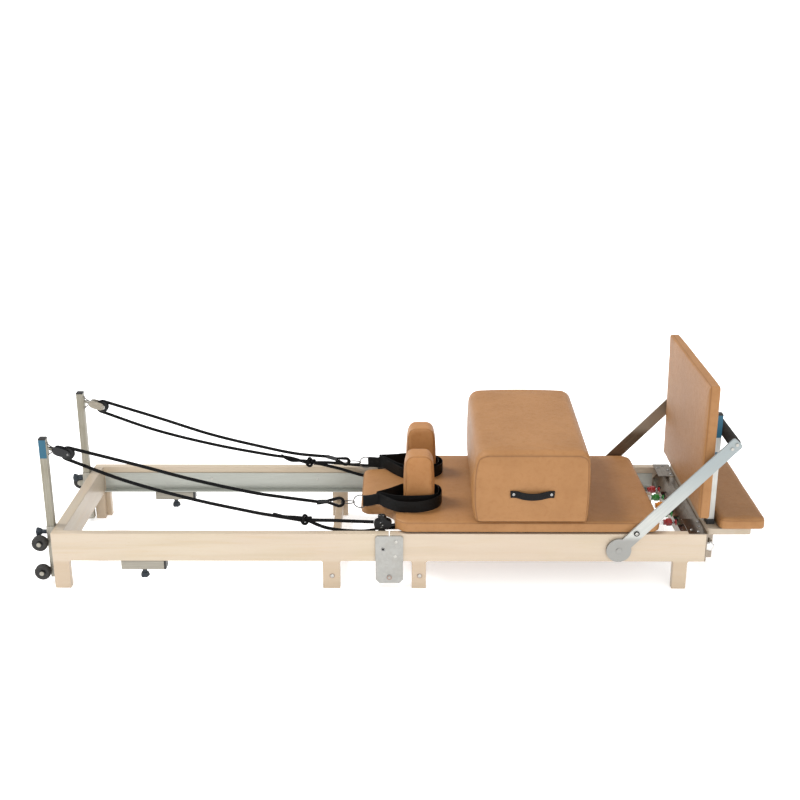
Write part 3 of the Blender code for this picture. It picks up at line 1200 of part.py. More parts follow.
def make_straps(carriage):
    """Webbing loops standing on edge round the shoulder rests, each ending in an eye for its ring."""
    bottom = PAD_TOP + TOUCH
    for side, label in SIDES:
        outside, inside = STRAP_REACH[side]
        outer_y = side * (outside - STRAP_CORNER)
        inner_y = side * (inside + STRAP_CORNER)
        low_y, high_y = sorted((outer_y, inner_y))
        low_lean, high_lean = (235, 145) if side == NEAR else (215, 125)
        tip = Vector((STRAP_TIP, side * (RING_Y - 0.006)))

        def loop(grow):
            r = STRAP_CORNER + grow
            back = STRAP_BACK - STRAP_CORNER
            points = [(tip.x - grow * 1.5, tip.y)]
            points += arc((STRAP_FRONT_CORNER_X, low_y), r, low_lean, 270, 3)
            points += arc((back, low_y), r, -90, 0, 5)
            points += arc((back, high_y), r, 0, 90, 5)
            points += arc((STRAP_FRONT_CORNER_X, high_y), r, 90, high_lean, 3)
            return points

        band = prism(loop(0.0), to_xy(bottom), (0, 0, STRAP_HEIGHT), [loop(-STRAP_THICKNESS)])
        lead_start = RING_X + RING_RADIUS - 0.5 * STRAP_SLOT_LENGTH - 0.004
        lead_y = side * RING_Y
        ply = STRAP_SLOT_WIDTH / 2 + STRAP_THICKNESS
        end_x = STRAP_TIP + 0.006
        end_y = lead_y - side * 0.006
        bend = STRAP_TIP - 0.012
        lead = [(lead_start, lead_y - ply), (bend, lead_y - ply), (end_x, end_y - ply)]
        lead += [(end_x, end_y + ply), (bend, lead_y + ply), (lead_start, lead_y + ply)]
        slot_start = RING_X + RING_RADIUS - 0.5 * STRAP_SLOT_LENGTH - 0.0005
        slot_end = RING_X + RING_RADIUS + 0.5 * STRAP_SLOT_LENGTH
        half = STRAP_SLOT_WIDTH / 2
        slot = rounded_rectangle((slot_start, lead_y - half), (slot_end, lead_y + half), 0.003, 2)
        z = RING_Z - STRAP_END_HEIGHT / 2
        tab = prism(lead, to_xy(z), (0, 0, STRAP_END_HEIGHT), [slot])
        ply -= 0.0005
        fold = slot_end + 0.002
        broad = [(fold, lead_y - ply), (bend, lead_y - ply), (end_x - 0.001, end_y - ply)]
        broad += [(end_x - 0.001, end_y + ply), (bend, lead_y + ply), (fold, lead_y + ply)]
        wide_tab = prism(broad, to_xy(bottom), (0, 0, STRAP_TAB_HEIGHT))
        place(f"strap_{label}", fuse([band, tab, wide_tab]), "webbing", carriage)


def make_box(carriage):
    """The sitting box: a stuffed block with long rounded top edges and bulging ends."""
    bottom = PAD_TOP + TOUCH
    lift = body("sitting_box_body", (BOX_START + BOX_LENGTH / 2, 0, bottom), carriage)
    x0, x1 = BOX_START, BOX_START + BOX_LENGTH
    top = bottom + BOX_HEIGHT
    r = BOX_TOP_RADIUS
    outline = [(x0 + 0.006, bottom), (x1 - 0.006, bottom), (x1, bottom + 0.008)]
    outline += [(x1 + BOX_BULGE, (bottom + top) / 2)]
    outline += arc((x1 - r, top - r), r, 0, 90, 6)
    outline += [((x0 + x1) / 2, top + 0.002)]
    outline += arc((x0 + r, top - r), r, 90, 180, 6)
    outline += [(x0 - BOX_BULGE, (bottom + top) / 2), (x0, bottom + 0.008)]
    half = BOX_HALF_WIDTH
    bm = bmesh.new()
    rings = []
    ends = ((0.006, half), (0.0015, half - 0.002), (0.0, half - 0.012))
    sections = [(inset, -reach) for inset, reach in ends] + [(inset, reach) for inset, reach in reversed(ends)]
    for inset, y in sections:
        moved = inset_outline(outline, inset)
        rings.append([bm.verts.new((px, y, max(pz, bottom))) for px, pz in moved])
    for lower, upper in zip(rings, rings[1:]):
        for index in range(len(lower)):
            after = (index + 1) % len(lower)
            bm.faces.new((lower[index], lower[after], upper[after], upper[index]))
    bm.faces.new(rings[0])
    bm.faces.new(rings[-1])
    place("sitting_box", bm, "vinyl", lift)


def curve_tube(name, points, radius, material, parent, resolution, swell=None):
    """A round tube with filled ends through points in frame coordinates."""
    curve = bpy.data.curves.new(name, "CURVE")
    curve.dimensions = "3D"
    curve.bevel_depth = radius
    curve.bevel_resolution = resolution
    curve.use_fill_caps = True
    spline = curve.splines.new("POLY")
    spline.points.add(len(points) - 1)
    origin = Vector(parent["frame_at"])
    for index, point in enumerate(points):
        spline.points[index].co = (*(Vector(point) - origin), 1.0)
        spline.points[index].radius = swell[index] if swell else 1.0
    spline.use_smooth = True
    curve.materials.append(finish(material, name))
    piece = bpy.data.objects.new(name, curve)
    bpy.context.collection.objects.link(piece)
    piece.parent = parent
    return piece


def least_gap(points, radius, skip):
    """Smallest distance between the surfaces of turns that aren't neighbours along the tube."""
    best = 1.0
    for i, first in enumerate(points):
        for second in points[i + skip:]:
            best = min(best, (Vector(first) - Vector(second)).length - 2 * radius)
    return best


def make_springs(foot):
    """Extension springs from the carriage's anchor bar to the channel, each with a ball handle."""
    wire = SPRING_WIRE / 2
    mean = SPRING_OUTER_RADIUS - wire
    start = SPRING_ANCHOR + TOUCH
    end = CHANNEL_START - TOUCH
    coil_start = start + SPRING_LEAD
    coil_end = HANDLE_AT - HANDLE_RADIUS - SPRING_LEAD
    steps = SPRING_CURLS * SPRING_POINTS_PER_CURL
    for number in range(SPRING_COUNT):
        y = (number - (SPRING_COUNT - 1) / 2) * SPRING_PITCH_Y
        points = [(start, y, SPRING_Z), (start + SPRING_WIRE, y, SPRING_Z)]
        sizes = [1.0, 1.0]
        coil = []
        for step in range(steps + 1):
            share = step / steps
            angle = 2 * math.pi * SPRING_CURLS * share
            ease = min(1.0, 6 * share, 6 * (1 - share))
            r = mean * max(0.12, ease)
            coil.append((coil_start + (coil_end - coil_start) * share, y + r * math.sin(angle),
                         SPRING_Z + r * math.cos(angle)))
        points += coil
        sizes += [1.0] * len(coil)
        points.append((HANDLE_AT - HANDLE_RADIUS - 0.001, y, SPRING_Z))
        sizes.append(1.0)
        for step in range(5):
            angle = math.pi * (0.6 + step) / 5.2
            points.append((HANDLE_AT - HANDLE_RADIUS * math.cos(angle), y, SPRING_Z))
            sizes.append(max(1.2, HANDLE_RADIUS * math.sin(angle) / wire))
        points += [(end - SPRING_WIRE, y, SPRING_Z), (end, y, SPRING_Z)]
        sizes += [1.2, 1.2]
        curve_tube(f"spring_{number + 1}", points, wire, SPRING_COLOURS[number], foot, 1, sizes)
        if number == 0:
            print("spring least gap mm", round(1000 * least_gap(coil, wire, SPRING_POINTS_PER_CURL // 2), 2))


def smooth_through(anchors, count):
    """Evenly spaced points on a Catmull-Rom curve through the anchors."""
    dense = []
    padded = [anchors[0] * 2 - anchors[1], *anchors, anchors[-1] * 2 - anchors[-2]]
    for a, b, c, d in zip(padded, padded[1:], padded[2:], padded[3:]):
        for step in range(24):
            t = step / 24
            dense.append(0.5 * ((2 * b) + (c - a) * t + (2 * a - 5 * b + 4 * c - d) * t * t
                                + (3 * b - a - 3 * c + d) * t ** 3))
    dense.append(anchors[-1])
    travelled = [0.0]
    for first, second in zip(dense, dense[1:]):
        travelled.append(travelled[-1] + (second - first).length)
    spaced = []
    index = 0
    for step in range(count):
        goal = travelled[-1] * step / (count - 1)
        while index < len(dense) - 2 and travelled[index + 1] < goal:
            index += 1
        span = travelled[index + 1] - travelled[index]
        share = (goal - travelled[index]) / span if span else 0.0
        spaced.append(dense[index].lerp(dense[index + 1], share))
    return spaced


def make_ropes(head, ends):
    """One rope a side: from its spliced eye over the sheave and back to the cleat by its knot."""
    down = Vector((math.cos(PULLEY_TILT), 0, -math.sin(PULLEY_TILT)))
    wrap = SHEAVE_GROOVE + ROPE_DIAMETER / 2 + ROPE_WRAP_FIT
    ferrule_end = RING_X - RING_RADIUS - LINK_LENGTH - EYE_LENGTH - FERRULE_LENGTH
    eye_z = RING_Z - 0.006
    splice_y = RING_Y + 0.008
    for side, label in SIDES:
        eye = Vector((POST_X + POST_SIZE / 2 + LUG_REACH, side * POST_Y, POST_TOP - PULLEY_DROP))
        centre = eye + down * PULLEY_REACH
        bight = arc((0.0, 0.0), wrap, ROPE_ON, ROPE_OFF, ROPE_WRAP_POINTS)
        sheave = [centre + Vector((x, 0, z)) for x, z in bight]
        upper = [Vector((ferrule_end - SPLICE_GAP, side * splice_y, eye_z + 0.0030))]
        for x, z in UPPER_STRAND:
            share = (x - ferrule_end) / (centre.x - ferrule_end)
            upper.append(Vector((x, side * (splice_y + (POST_Y - splice_y) * share), z)))
        upper.append(sheave[0])
        lower = [sheave[-1]]
        for x, z in LOWER_STRAND:
            share = (x - KNOT_X) / (centre.x - KNOT_X)
            lower.append(Vector((x, side * (CLEAT_Y + (POST_Y - CLEAT_Y) * share), z)))
        knot = Vector((KNOT_X, side * CLEAT_Y, KNOT_Z))
        lower.append(knot)
        rope_end = Vector((CLEAT_X - CLEAT_WIDTH / 2 - TOUCH - 0.004, side * CLEAT_Y, CLEAT_ROPE_Z))
        points = smooth_through(upper, ROPE_RUN_POINTS)[:-1] + sheave
        points += smooth_through(lower, ROPE_RUN_POINTS)[1:-1]
        sizes = [1.0] * len(points)
        swell = KNOT_RADIUS / (ROPE_DIAMETER / 2) - 1.0
        for step in range(-3, 4):
            reach = step / 3
            points.append(knot + Vector((reach * KNOT_LENGTH / 2, 0, 0)))
            sizes.append(1.0 + swell * math.sqrt(1 - reach * reach))
        for share in (0.3, 0.65, 1.0):
            points.append((knot + Vector((KNOT_LENGTH / 2, 0, 0))).lerp(rope_end, share))
            sizes.append(1.0)
        curve_tube(f"rope_{label}", points, ROPE_DIAMETER / 2, "webbing", head, ROPE_SIDES_RESOLUTION, sizes)
        place(f"rope_hook_{label}", rope_hook(side, ferrule_end, eye_z), "stainless", ends)


def rope_hook(side, ferrule_end, eye_z):
    """Ferrule, teardrop eye, link and split ring, joined end to end."""
    y = side * RING_Y
    ring = [Vector((RING_X + RING_RADIUS * math.cos(a), y, RING_Z + RING_RADIUS * math.sin(a)))
            for a in (2 * math.pi * step / 16 for step in range(16))]
    link_right = RING_X - RING_RADIUS + 0.0015
    link_left = link_right - LINK_LENGTH
    middle = (link_left + link_right) / 2
    link = []
    for step in range(12):
        angle = 2 * math.pi * step / 12
        reach_x, reach_z = LINK_LENGTH / 2 * math.cos(angle), LINK_HALF_HEIGHT * math.sin(angle)
        link.append(Vector((middle + reach_x, y, RING_Z - 0.003 + reach_z)))
    eye_right = link_left + 0.004
    wide = EYE_HEIGHT / 2 - EYE_WIRE
    slim = EYE_WIRE + 0.001
    lean = math.degrees(math.acos((slim - wide) / (EYE_LENGTH - wide - slim)))
    teardrop = arc((eye_right - wide, eye_z), wide, -lean, lean, 6)
    teardrop += arc((eye_right - EYE_LENGTH + slim, eye_z), slim, lean, 360 - lean, 4)
    eye = [Vector((x, y + side * 0.003, z)) for x, z in teardrop]
    length = FERRULE_LENGTH + 0.006
    profile = [(0, 0), (FERRULE_RADIUS, 0), (FERRULE_RADIUS, length), (0, length)]
    ferrule_at = (ferrule_end, y + side * 0.008, eye_z + 0.003)
    ferrule = lathe(profile, ferrule_at, (1, -side * 0.10, -0.06), 12)
    loops = [tube_around(ring, RING_WIRE, 6), tube_around(link, LINK_WIRE, 6), tube_around(eye, EYE_WIRE, 6)]
    return fuse([*loops, ferrule])


def build():
    clear_scene()
    frame = bpy.data.objects.new("reformer", None)
    bpy.context.collection.objects.link(frame)
    frame["frame_at"] = (0.0, 0.0, 0.0)
    frame.location = (FRAME_SHIFT, 0, 0)
    foot = body("foot_frame", (0, 0, 0), frame)
    head = body("head_frame", (0, 0, FOLD_PIVOT_Z), foot)
    carriage = body("carriage", (0, 0, PAD_BOTTOM), foot)
    ends = body("rope_ends", (0, 0, FOLD_PIVOT_Z), carriage)
    make_rails(foot, head)
    make_beams(foot, head)
    make_tracks(foot, head)
    make_hinge_plates(foot, head)
    make_head_end(head)
    make_sleeves(head)
    make_foot_end(foot)
    make_jump_board(foot)
    make_foot_bar(foot)
    make_carriage(carriage)
    make_rests(carriage)
    make_straps(carriage)
    make_box(carriage)
    make_springs(foot)
    make_ropes(head, ends)


build()
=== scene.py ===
from functools import reduce
from math import acos, copysign, cos, pi, radians, sin

import bmesh
import bpy
from mathutils import Matrix, Vector


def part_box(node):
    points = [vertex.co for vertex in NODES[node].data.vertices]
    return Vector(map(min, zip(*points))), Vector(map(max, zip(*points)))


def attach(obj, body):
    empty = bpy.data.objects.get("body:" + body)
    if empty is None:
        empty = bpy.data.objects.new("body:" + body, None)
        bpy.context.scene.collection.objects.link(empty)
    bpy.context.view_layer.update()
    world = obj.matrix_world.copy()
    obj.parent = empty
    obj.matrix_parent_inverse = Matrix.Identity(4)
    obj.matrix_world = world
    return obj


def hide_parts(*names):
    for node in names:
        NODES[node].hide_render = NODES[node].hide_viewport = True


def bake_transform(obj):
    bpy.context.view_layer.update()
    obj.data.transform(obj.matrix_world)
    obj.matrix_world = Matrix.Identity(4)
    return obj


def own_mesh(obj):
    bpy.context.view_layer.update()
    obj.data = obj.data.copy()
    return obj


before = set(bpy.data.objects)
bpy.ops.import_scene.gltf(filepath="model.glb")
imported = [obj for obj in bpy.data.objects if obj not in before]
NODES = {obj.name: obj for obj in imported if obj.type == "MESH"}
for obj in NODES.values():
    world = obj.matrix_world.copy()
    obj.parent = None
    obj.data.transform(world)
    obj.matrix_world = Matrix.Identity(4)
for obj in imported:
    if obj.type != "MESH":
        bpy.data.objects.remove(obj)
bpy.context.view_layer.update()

# Sizes shared with the part, in metres. X is measured from the split between the
# two halves of the frame, and at() shifts it to the row frame.
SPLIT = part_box("foot_hinge_plate_near")
SHIFT = (SPLIT[0].x + SPLIT[1].x) / 2
HALF_WIDTH = 0.325
RAIL_INNER = 0.297
RAIL_TOP = 0.213
PAD_TOP = 0.261
ON_PAD = PAD_TOP + 0.0006
TILT = radians(18.0)
POST_X = -1.2065
POST_Y = 0.25
POST_HALF = 0.0125
POST_TOP = 0.545
ROPE_DIAMETER = 0.012
RING_Y = 0.192
CLEAT_Y = 0.281
SIDES = ((-1, "near"), (1, "far"))
PULLEY_DOWN = Vector((cos(TILT), 0, -sin(TILT)))
PULLEY_UP = Vector((sin(TILT), 0, cos(TILT)))


def at(x, y, z):
    """A point whose x counts from the split, in the row frame."""
    return Vector((x + SHIFT, y, z))


def post_eye(side):
    """The eye on a post that its pulley hangs from."""
    return at(POST_X + 0.0265, side * POST_Y, POST_TOP - 0.041)


def sheave_centre(side):
    return post_eye(side) + PULLEY_DOWN * 0.062


def paint(red, green, blue, dimmed=1.0):
    """A colour given as a screen shows it, from 0 to 255, in linear light."""
    parts = [(c / 255 / 12.92) if c <= 10 else ((c / 255 + 0.055) / 1.055) ** 2.4 for c in (red, green, blue)]
    return (*(part * dimmed for part in parts), 1.0)


def shifted(tone, *by):
    """A tone made lighter or darker by one step, or by one step for each part."""
    return tuple(min(255, part + step) for part, step in zip(tone, by * 3))


def stand(name, data):
    """Puts a new object in the scene."""
    made = bpy.data.objects.new(name, data)
    bpy.context.scene.collection.objects.link(made)
    return made


# ---------------------------------------------------------------- camera, light

FOCAL_LENGTH = 52.9
LOOKS_DOWN = 18.9
FLOOR_RADIUS = 1800.0


def set_camera():
    lens = bpy.data.cameras.new("photo_camera")
    lens.lens = FOCAL_LENGTH
    lens.sensor_width = 36.0
    lens.clip_end = 4000.0
    camera = stand("photo_camera", lens)
    camera.location = at(0.0497, -4.0705, 1.9921)
    camera.rotation_euler = (radians(90 - LOOKS_DOWN), 0.0, 0.0032)
    bpy.context.scene.camera = camera


def sun(name, towards, strength, angle):
    """A distant soft light that stands in a direction from the object."""
    lamp = bpy.data.lights.new(name, "SUN")
    lamp.energy = strength
    lamp.angle = radians(angle)
    stand(name, lamp).rotation_euler = (-Vector(towards)).to_track_quat("-Z", "Y").to_euler()


def set_studio():
    scene = bpy.context.scene
    scene.view_settings.view_transform = "Standard"
    world = bpy.data.worlds.new("studio")
    world.use_nodes = True
    sky = world.node_tree.nodes["Background"].inputs
    sky["Color"].default_value = (1.0, 1.0, 1.0, 1.0)
    sky["Strength"].default_value = 0.72
    scene.world = world
    sun("key_light", (-0.56, 0.14, 0.82), 2.1, 20)
    sun("fill_light", (0.22, -0.9, 0.36), 1.04, 40)
    sun("top_light", (0.42, -0.16, 0.89), 0.6, 70)
    bm = bmesh.new()
    bmesh.ops.create_circle(bm, cap_ends=True, segments=96, radius=FLOOR_RADIUS)
    floor = Finish("studio_floor", None, Roughness=1.0, Specular_IOR_Level=0.0, Base_Color=(0.88, 0.88, 0.88, 1.0),
                   Emission_Color=(1.0, 1.0, 1.0, 1.0), Emission_Strength=0.52)
    piece_from(bm, "studio_floor", floor.material, None)


# ---------------------------------------------------------------- shader maths

def maths(operation, swapped=False):
    """A method that adds one Math node for a wire and what else its sum takes."""
    def method(self, *others):
        values = (*others, self) if swapped else (self, *others)
        return self.finish.node("ShaderNodeMath", {"operation": operation}, dict(enumerate(values)))
    return method


class Wire:
    """A node's output. Arithmetic on it adds the Math nodes for the same sum."""

    def __init__(self, finish, socket):
        self.finish = finish
        self.socket = socket

    __add__, __radd__ = maths("ADD"), maths("ADD", True)
    __sub__, __rsub__ = maths("SUBTRACT"), maths("SUBTRACT", True)
    __mul__, __rmul__ = maths("MULTIPLY"), maths("MULTIPLY", True)
    __pow__, __abs__ = maths("POWER"), maths("ABSOLUTE")
    __gt__, __lt__ = maths("GREATER_THAN"), maths("LESS_THAN")
    sine, fraction, larger = maths("SINE"), maths("FRACT"), maths("MAXIMUM")


class Finish:
    """A material on one Principled shader, built from wires. Its colour starts as a
    tone and is stained and covered with others."""

    def __init__(self, name, tone, **plain):
        self.material = bpy.data.materials.new(name)
        self.material.use_nodes = True
        self.tree = self.material.node_tree
        self.shader = self.tree.nodes["Principled BSDF"]
        self.colour = tone and paint(*tone)
        for socket, value in plain.items():
            self.set(socket.replace("_", " "), value)
        self.place = self.node("ShaderNodeTexCoord", output="Object")
        self.x, self.y, self.z = self.parts(self.place)

    def plug(self, sockets, name, value):
        if isinstance(value, Wire):
            self.tree.links.new(value.socket, sockets[name])
        else:
            sockets[name].default_value = value

    def set(self, name, value):
        self.plug(self.shader.inputs, name, value)

    def node(self, kind, settings=None, inputs=None, output=0):
        made = self.tree.nodes.new(kind)
        for name, value in (settings or {}).items():
            setattr(made, name, value)
        for name, value in (inputs or {}).items():
            self.plug(made.inputs, name, value)
        return Wire(self, made.outputs[output])

    def parts(self, vector):
        split = self.node("ShaderNodeSeparateXYZ", None, {0: vector}).socket.node
        return [Wire(self, out) for out in split.outputs]

    def lie(self):
        """How far across and along a swept piece's UV map says a place is."""
        return self.parts(self.node("ShaderNodeUVMap", {"uv_map": "lie"}))[:2]

    def grained(self, along, across, length=1.0, place=None):
        """The place, scaled so that a pattern on it runs along one axis."""
        factors = tuple(length if axis == along else across for axis in "xyz")
        return self.node("ShaderNodeVectorMath", {"operation": "MULTIPLY"}, {0: place or self.place, 1: factors})

    def noise(self, scale, detail=2.0, roughness=0.5, distortion=0.0, place=None):
        return self.node("ShaderNodeTexNoise", None,
                         {"Vector": place or self.place, "Scale": scale, "Detail": detail, "Roughness": roughness,
                          "Distortion": distortion})

    def cells(self, scale, feature="F1", output=0):
        return self.node("ShaderNodeTexVoronoi", {"feature": feature},
                         {"Vector": self.place, "Scale": scale, "Randomness": 1.0}, output)

    def span(self, value, low, high, to_low=0.0, to_high=1.0):
        return self.node("ShaderNodeMapRange", {"interpolation_type": "SMOOTHSTEP"},
                         {"Value": value, "From Min": low, "From Max": high, "To Min": to_low, "To Max": to_high})

    def tint(self, share, first, second):
        return self.node("ShaderNodeMix", {"data_type": "RGBA"}, {0: share, 6: first, 7: second}, 2)

    def cover(self, share, tone):
        """Lays a share of a tone over the colour."""
        self.colour = self.tint(share, self.colour, paint(*tone) if isinstance(tone, tuple) else tone)

    def stain(self, value, low, high, tone, share=1.0):
        """Lays a share of a tone over the colour, as far as a value rises from low to high."""
        self.cover(self.span(value, low, high, 0.0, share), tone)

    def done(self, roughness, *bumps):
        """Sets colour and roughness. Each bump is a height in metres and its strength."""
        self.set("Base Color", self.colour)
        self.set("Roughness", roughness)
        normal = None
        for height, strength in bumps:
            inputs = {"Height": height, "Distance": 1.0, "Strength": strength}
            if normal is not None:
                inputs["Normal"] = normal
            normal = self.node("ShaderNodeBump", None, inputs)
        self.set("Normal", normal)
        return self.material


# ---------------------------------------------------------------- finishes

BLACK_CAP = (9, 9, 10)
TAN = (150, 107, 65)


def maple(name, along="x", dark=1.0):
    """Pale clear-lacquered maple with its grain along one axis."""
    pale, deep, pink = (tuple(c * dark for c in tone) for tone in ((188, 174, 153), (179, 163, 139), (186, 168, 150)))
    f = Finish(name, pale, Coat_Weight=0.35, Coat_Roughness=0.22)
    lay = f.grained(along, 16.0)
    bands = f.noise(5.0, 4.0, 0.6, 0.4, lay)
    fibre = f.noise(46.0, 3.0, 0.65, place=lay)
    f.stain(f.noise(1.4, 3.0, distortion=0.7, place=lay), 0.32, 0.7, deep)
    f.stain(f.noise(3.2, 2.0, distortion=0.3), 0.4, 0.68, pink, 0.55)
    f.stain(bands, 0.46, 0.72, (182, 158, 126), 0.28)
    f.stain(fibre, 0.52, 0.8, (176, 148, 114), 0.24)
    f.stain(f.noise(22.0, place=f.grained(along, 2.2 * 16.0, 2.2)), 0.66, 0.76, (160, 126, 88), 0.3)
    f.stain(f.z, 0.112, 0.1, (168, 145, 118), 0.5)
    return f.done(0.36 + fibre * 0.16, (fibre * 0.00012 + bands * 0.00008, 0.7))


def vinyl(name, seams, tone):
    """Tan upholstery vinyl: fine leather grain, faint mottling and sewn seams whose grooves
    hold painted shade. A seam is its axis, its place there and how far its stitches stand from it."""
    f = Finish(name, tone, Specular_IOR_Level=0.26)
    fine = f.noise(60.0, 3.0, 0.6)
    deep = shifted(tone, -13, -14, -13)
    f.stain(f.noise(7.0, 3.0, 0.55), 0.3, 0.7, shifted(tone, 9, 8, 7))
    f.stain(fine, 0.45, 0.75, deep, 0.35)
    pebble = f.span(f.cells(620.0, "DISTANCE_TO_EDGE"), 0.0, 0.16)
    f.cover((1.0 - pebble) * 0.22, deep)
    grooves, stitches = [], []
    for axis, place, offset in seams:
        here = getattr(f, axis)
        first, second = (getattr(f, other) for other in "xyz" if other != axis)
        grooves.append(f.span(abs(here - place), 0.0, 0.0016, 1.0, 0.0))
        row = f.span(abs(here - (place + offset)), 0.0003, 0.0009, 1.0, 0.0)
        stitches.append(row * (((first + second) * 200.0).fraction() < 0.66))
    groove, thread = reduce(Wire.larger, grooves), reduce(Wire.larger, stitches)
    # painted shade: the seam grooves are darkened
    f.cover(groove * 0.6, (104, 70, 42))
    f.cover(thread * 0.35, (138, 98, 62))
    return f.done(0.4 + fine * 0.14, (pebble * 0.00016 + fine * 0.0003, 0.55),
                  ((1.0 - groove) * 0.0012 + thread * 0.00035, 0.8))


def satin(name, tone, along="x", roughness=0.34, metallic=1.0, streak=0.1):
    """Satin metal with fine lines along one axis, darker than the tone by the streak."""
    f = Finish(name, tone, Metallic=metallic)
    shade = (*tone, 1.0 - 2.2 * streak)
    lines = f.noise(9.0, 4.0, 0.7, place=f.grained(along, 60.0))
    f.stain(lines, 0.3, 0.7, shade)
    f.stain(f.noise(4.0), 0.35, 0.65, shade, 0.25)
    return f.done(roughness - 0.06 + lines * 0.14, (lines * 0.00006, 0.5))


def galvanised(name):
    """Zinc-coated plate with a faint spangle and dull patches."""
    f = Finish(name, (162, 161, 157), Metallic=0.62)
    cloud = f.noise(28.0, 4.0, 0.6)
    spangle = f.node("ShaderNodeRGBToBW", None, {0: f.cells(95.0, output=1)})
    f.stain(spangle, 0.1, 0.9, (149, 149, 145), 0.55)
    f.stain(cloud, 0.44, 0.7, (152, 149, 142), 0.45)
    return f.done(0.46 + cloud * 0.16, (cloud * 0.0002, 0.5))


def plated(name, tone=(150, 145, 132), capped=None, labels=(), foot=None):
    """Warm grey plated tube with faint lines. Capped is the height where its black cap
    starts, labels are the heights between which its near face has a bare blue label
    place, and foot is the height where a black collar ends."""
    f = Finish(name, tone, Metallic=0.45)
    lines = f.noise(7.0, 4.0, 0.7, place=f.grained("z", 60.0, 1.2))
    f.stain(lines, 0.3, 0.72, shifted(tone, -22, -22, -24))
    f.stain(f.noise(16.0, 3.0), 0.45, 0.7, shifted(tone, -30, -32, -36), 0.35)
    gloss = 0.4 + lines * 0.12
    masks = []
    if labels:
        face = abs(f.y - (-POST_Y - POST_HALF)) < 0.0012
        label = reduce(Wire.larger, [face * (f.z > low) * (f.z < high) for low, high in labels])
        f.cover(label, f.tint(f.noise(900.0) * 0.3, paint(12, 84, 108), paint(8, 64, 88)))
        gloss = gloss * (1.0 - label) + label * 0.42
        masks.append(label)
    if capped:
        cap = f.z > capped
        f.cover(cap, BLACK_CAP)
        gloss = gloss * (1.0 - cap) + cap * 0.48
        masks.append(cap)
    if foot:
        masks.append(f.z < foot)
        f.cover(masks[-1], (10, 10, 11))
    if masks:
        f.set("Metallic", (1.0 - reduce(Wire.larger, masks)) * 0.45)
    return f.done(gloss, (lines * 0.00008, 0.5))


def sleeve_finish(name):
    """Grey storage sleeve under a rail with a black cap at the end towards the split."""
    f = Finish(name, (150, 145, 133))
    lines = f.noise(7.0, 4.0, 0.7, place=f.grained("x", 60.0, 1.2))
    f.stain(lines, 0.3, 0.72, (132, 127, 117))
    f.stain(f.noise(16.0, 3.0), 0.45, 0.7, (142, 138, 126), 0.35)
    cap = f.x > -0.798 + SHIFT
    f.cover(cap, BLACK_CAP)
    f.set("Metallic", (1.0 - cap) * 0.35)
    return f.done(0.42 + lines * 0.12, (lines * 0.00008, 0.5))


def moulded(name, tone, roughness=0.46, grain=0.00012, scale=900.0):
    """Moulded plastic or rubber with a fine erosion grain and slight scuffs."""
    f = Finish(name, tone, Specular_IOR_Level=0.25)
    wear = f.noise(24.0, 4.0, 0.65)
    f.stain(wear, 0.5, 0.78, shifted(tone, 9), 0.5)
    return f.done(roughness - 0.06 + wear * 0.14, (f.noise(scale) * grain, 0.6))


def lacquer(name, tone):
    """A glossy lacquered spring knob, with brighter rubbed places."""
    f = Finish(name, tone, Coat_Weight=0.6, Coat_Roughness=0.12)
    wear = f.noise(70.0, 3.0, 0.6)
    f.stain(wear, 0.45, 0.75, tuple(min(255, int(c * 1.18) + 10) for c in tone), 0.4)
    return f.done(0.3 + wear * 0.15, (wear * 0.0002, 0.4))


def sponge(name):
    """Closed-cell foam: matt, dark, with small open pores."""
    f = Finish(name, (20, 18, 17), Specular_IOR_Level=0.25)
    pit = f.span(f.cells(520.0), 0.16, 0.34)
    soft = f.noise(60.0, 3.0)
    f.cover(pit, (50, 46, 43))
    f.stain(soft, 0.4, 0.7, (40, 37, 35), 0.5)
    return f.done(0.78 + soft * 0.14, (pit * 0.0005 + soft * 0.0006, 0.7))


def braid(name):
    """Black braided rope: strands cross as diamonds on the piece's own UV map,
    whose x counts once round and whose y is metres along."""
    f = Finish(name, (3, 3, 4), Specular_IOR_Level=0.12)
    across, along = f.lie()
    lean = along * (2 * pi * 92.0)
    turn = across * (2 * pi * 8.0)
    first, second = (lean + turn).sine(), (lean - turn).sine()
    over = f.span(first * second, -0.7, 0.7)
    strand = abs(first).larger(abs(second))
    fibre = f.noise(420.0, 2.0, 0.7)
    f.cover(over, (17, 17, 18))
    f.stain(fibre, 0.5, 0.8, (30, 29, 28), 0.4)
    return f.done(0.62 + fibre * 0.22, (over * 0.0005 + strand * 0.0003 + fibre * 0.0001, 0.8))


def webbing(name, tone=(4, 4, 4)):
    """Black woven webbing on its UV map, x across and y along, both in metres. It has
    fine ribs and a herringbone."""
    f = Finish(name, tone, Specular_IOR_Level=0.14)
    across, along = f.lie()
    rib = (across * (2 * pi / 0.0022)).sine()
    bone = ((abs(across) * 2.0 + along) * (2 * pi / 0.0032)).sine()
    weave = f.span(rib * bone, -0.8, 0.8)
    fibre = f.noise(260.0, 3.0, 0.6)
    f.cover(weave, shifted(tone, 10))
    f.stain(fibre, 0.5, 0.8, shifted(tone, 18), 0.35)
    f.stain(f.noise(18.0), 0.45, 0.7, shifted(tone, 9), 0.4)
    return f.done(0.38 + fibre * 0.2, (weave * 0.00028 + fibre * 0.00008, 0.8))


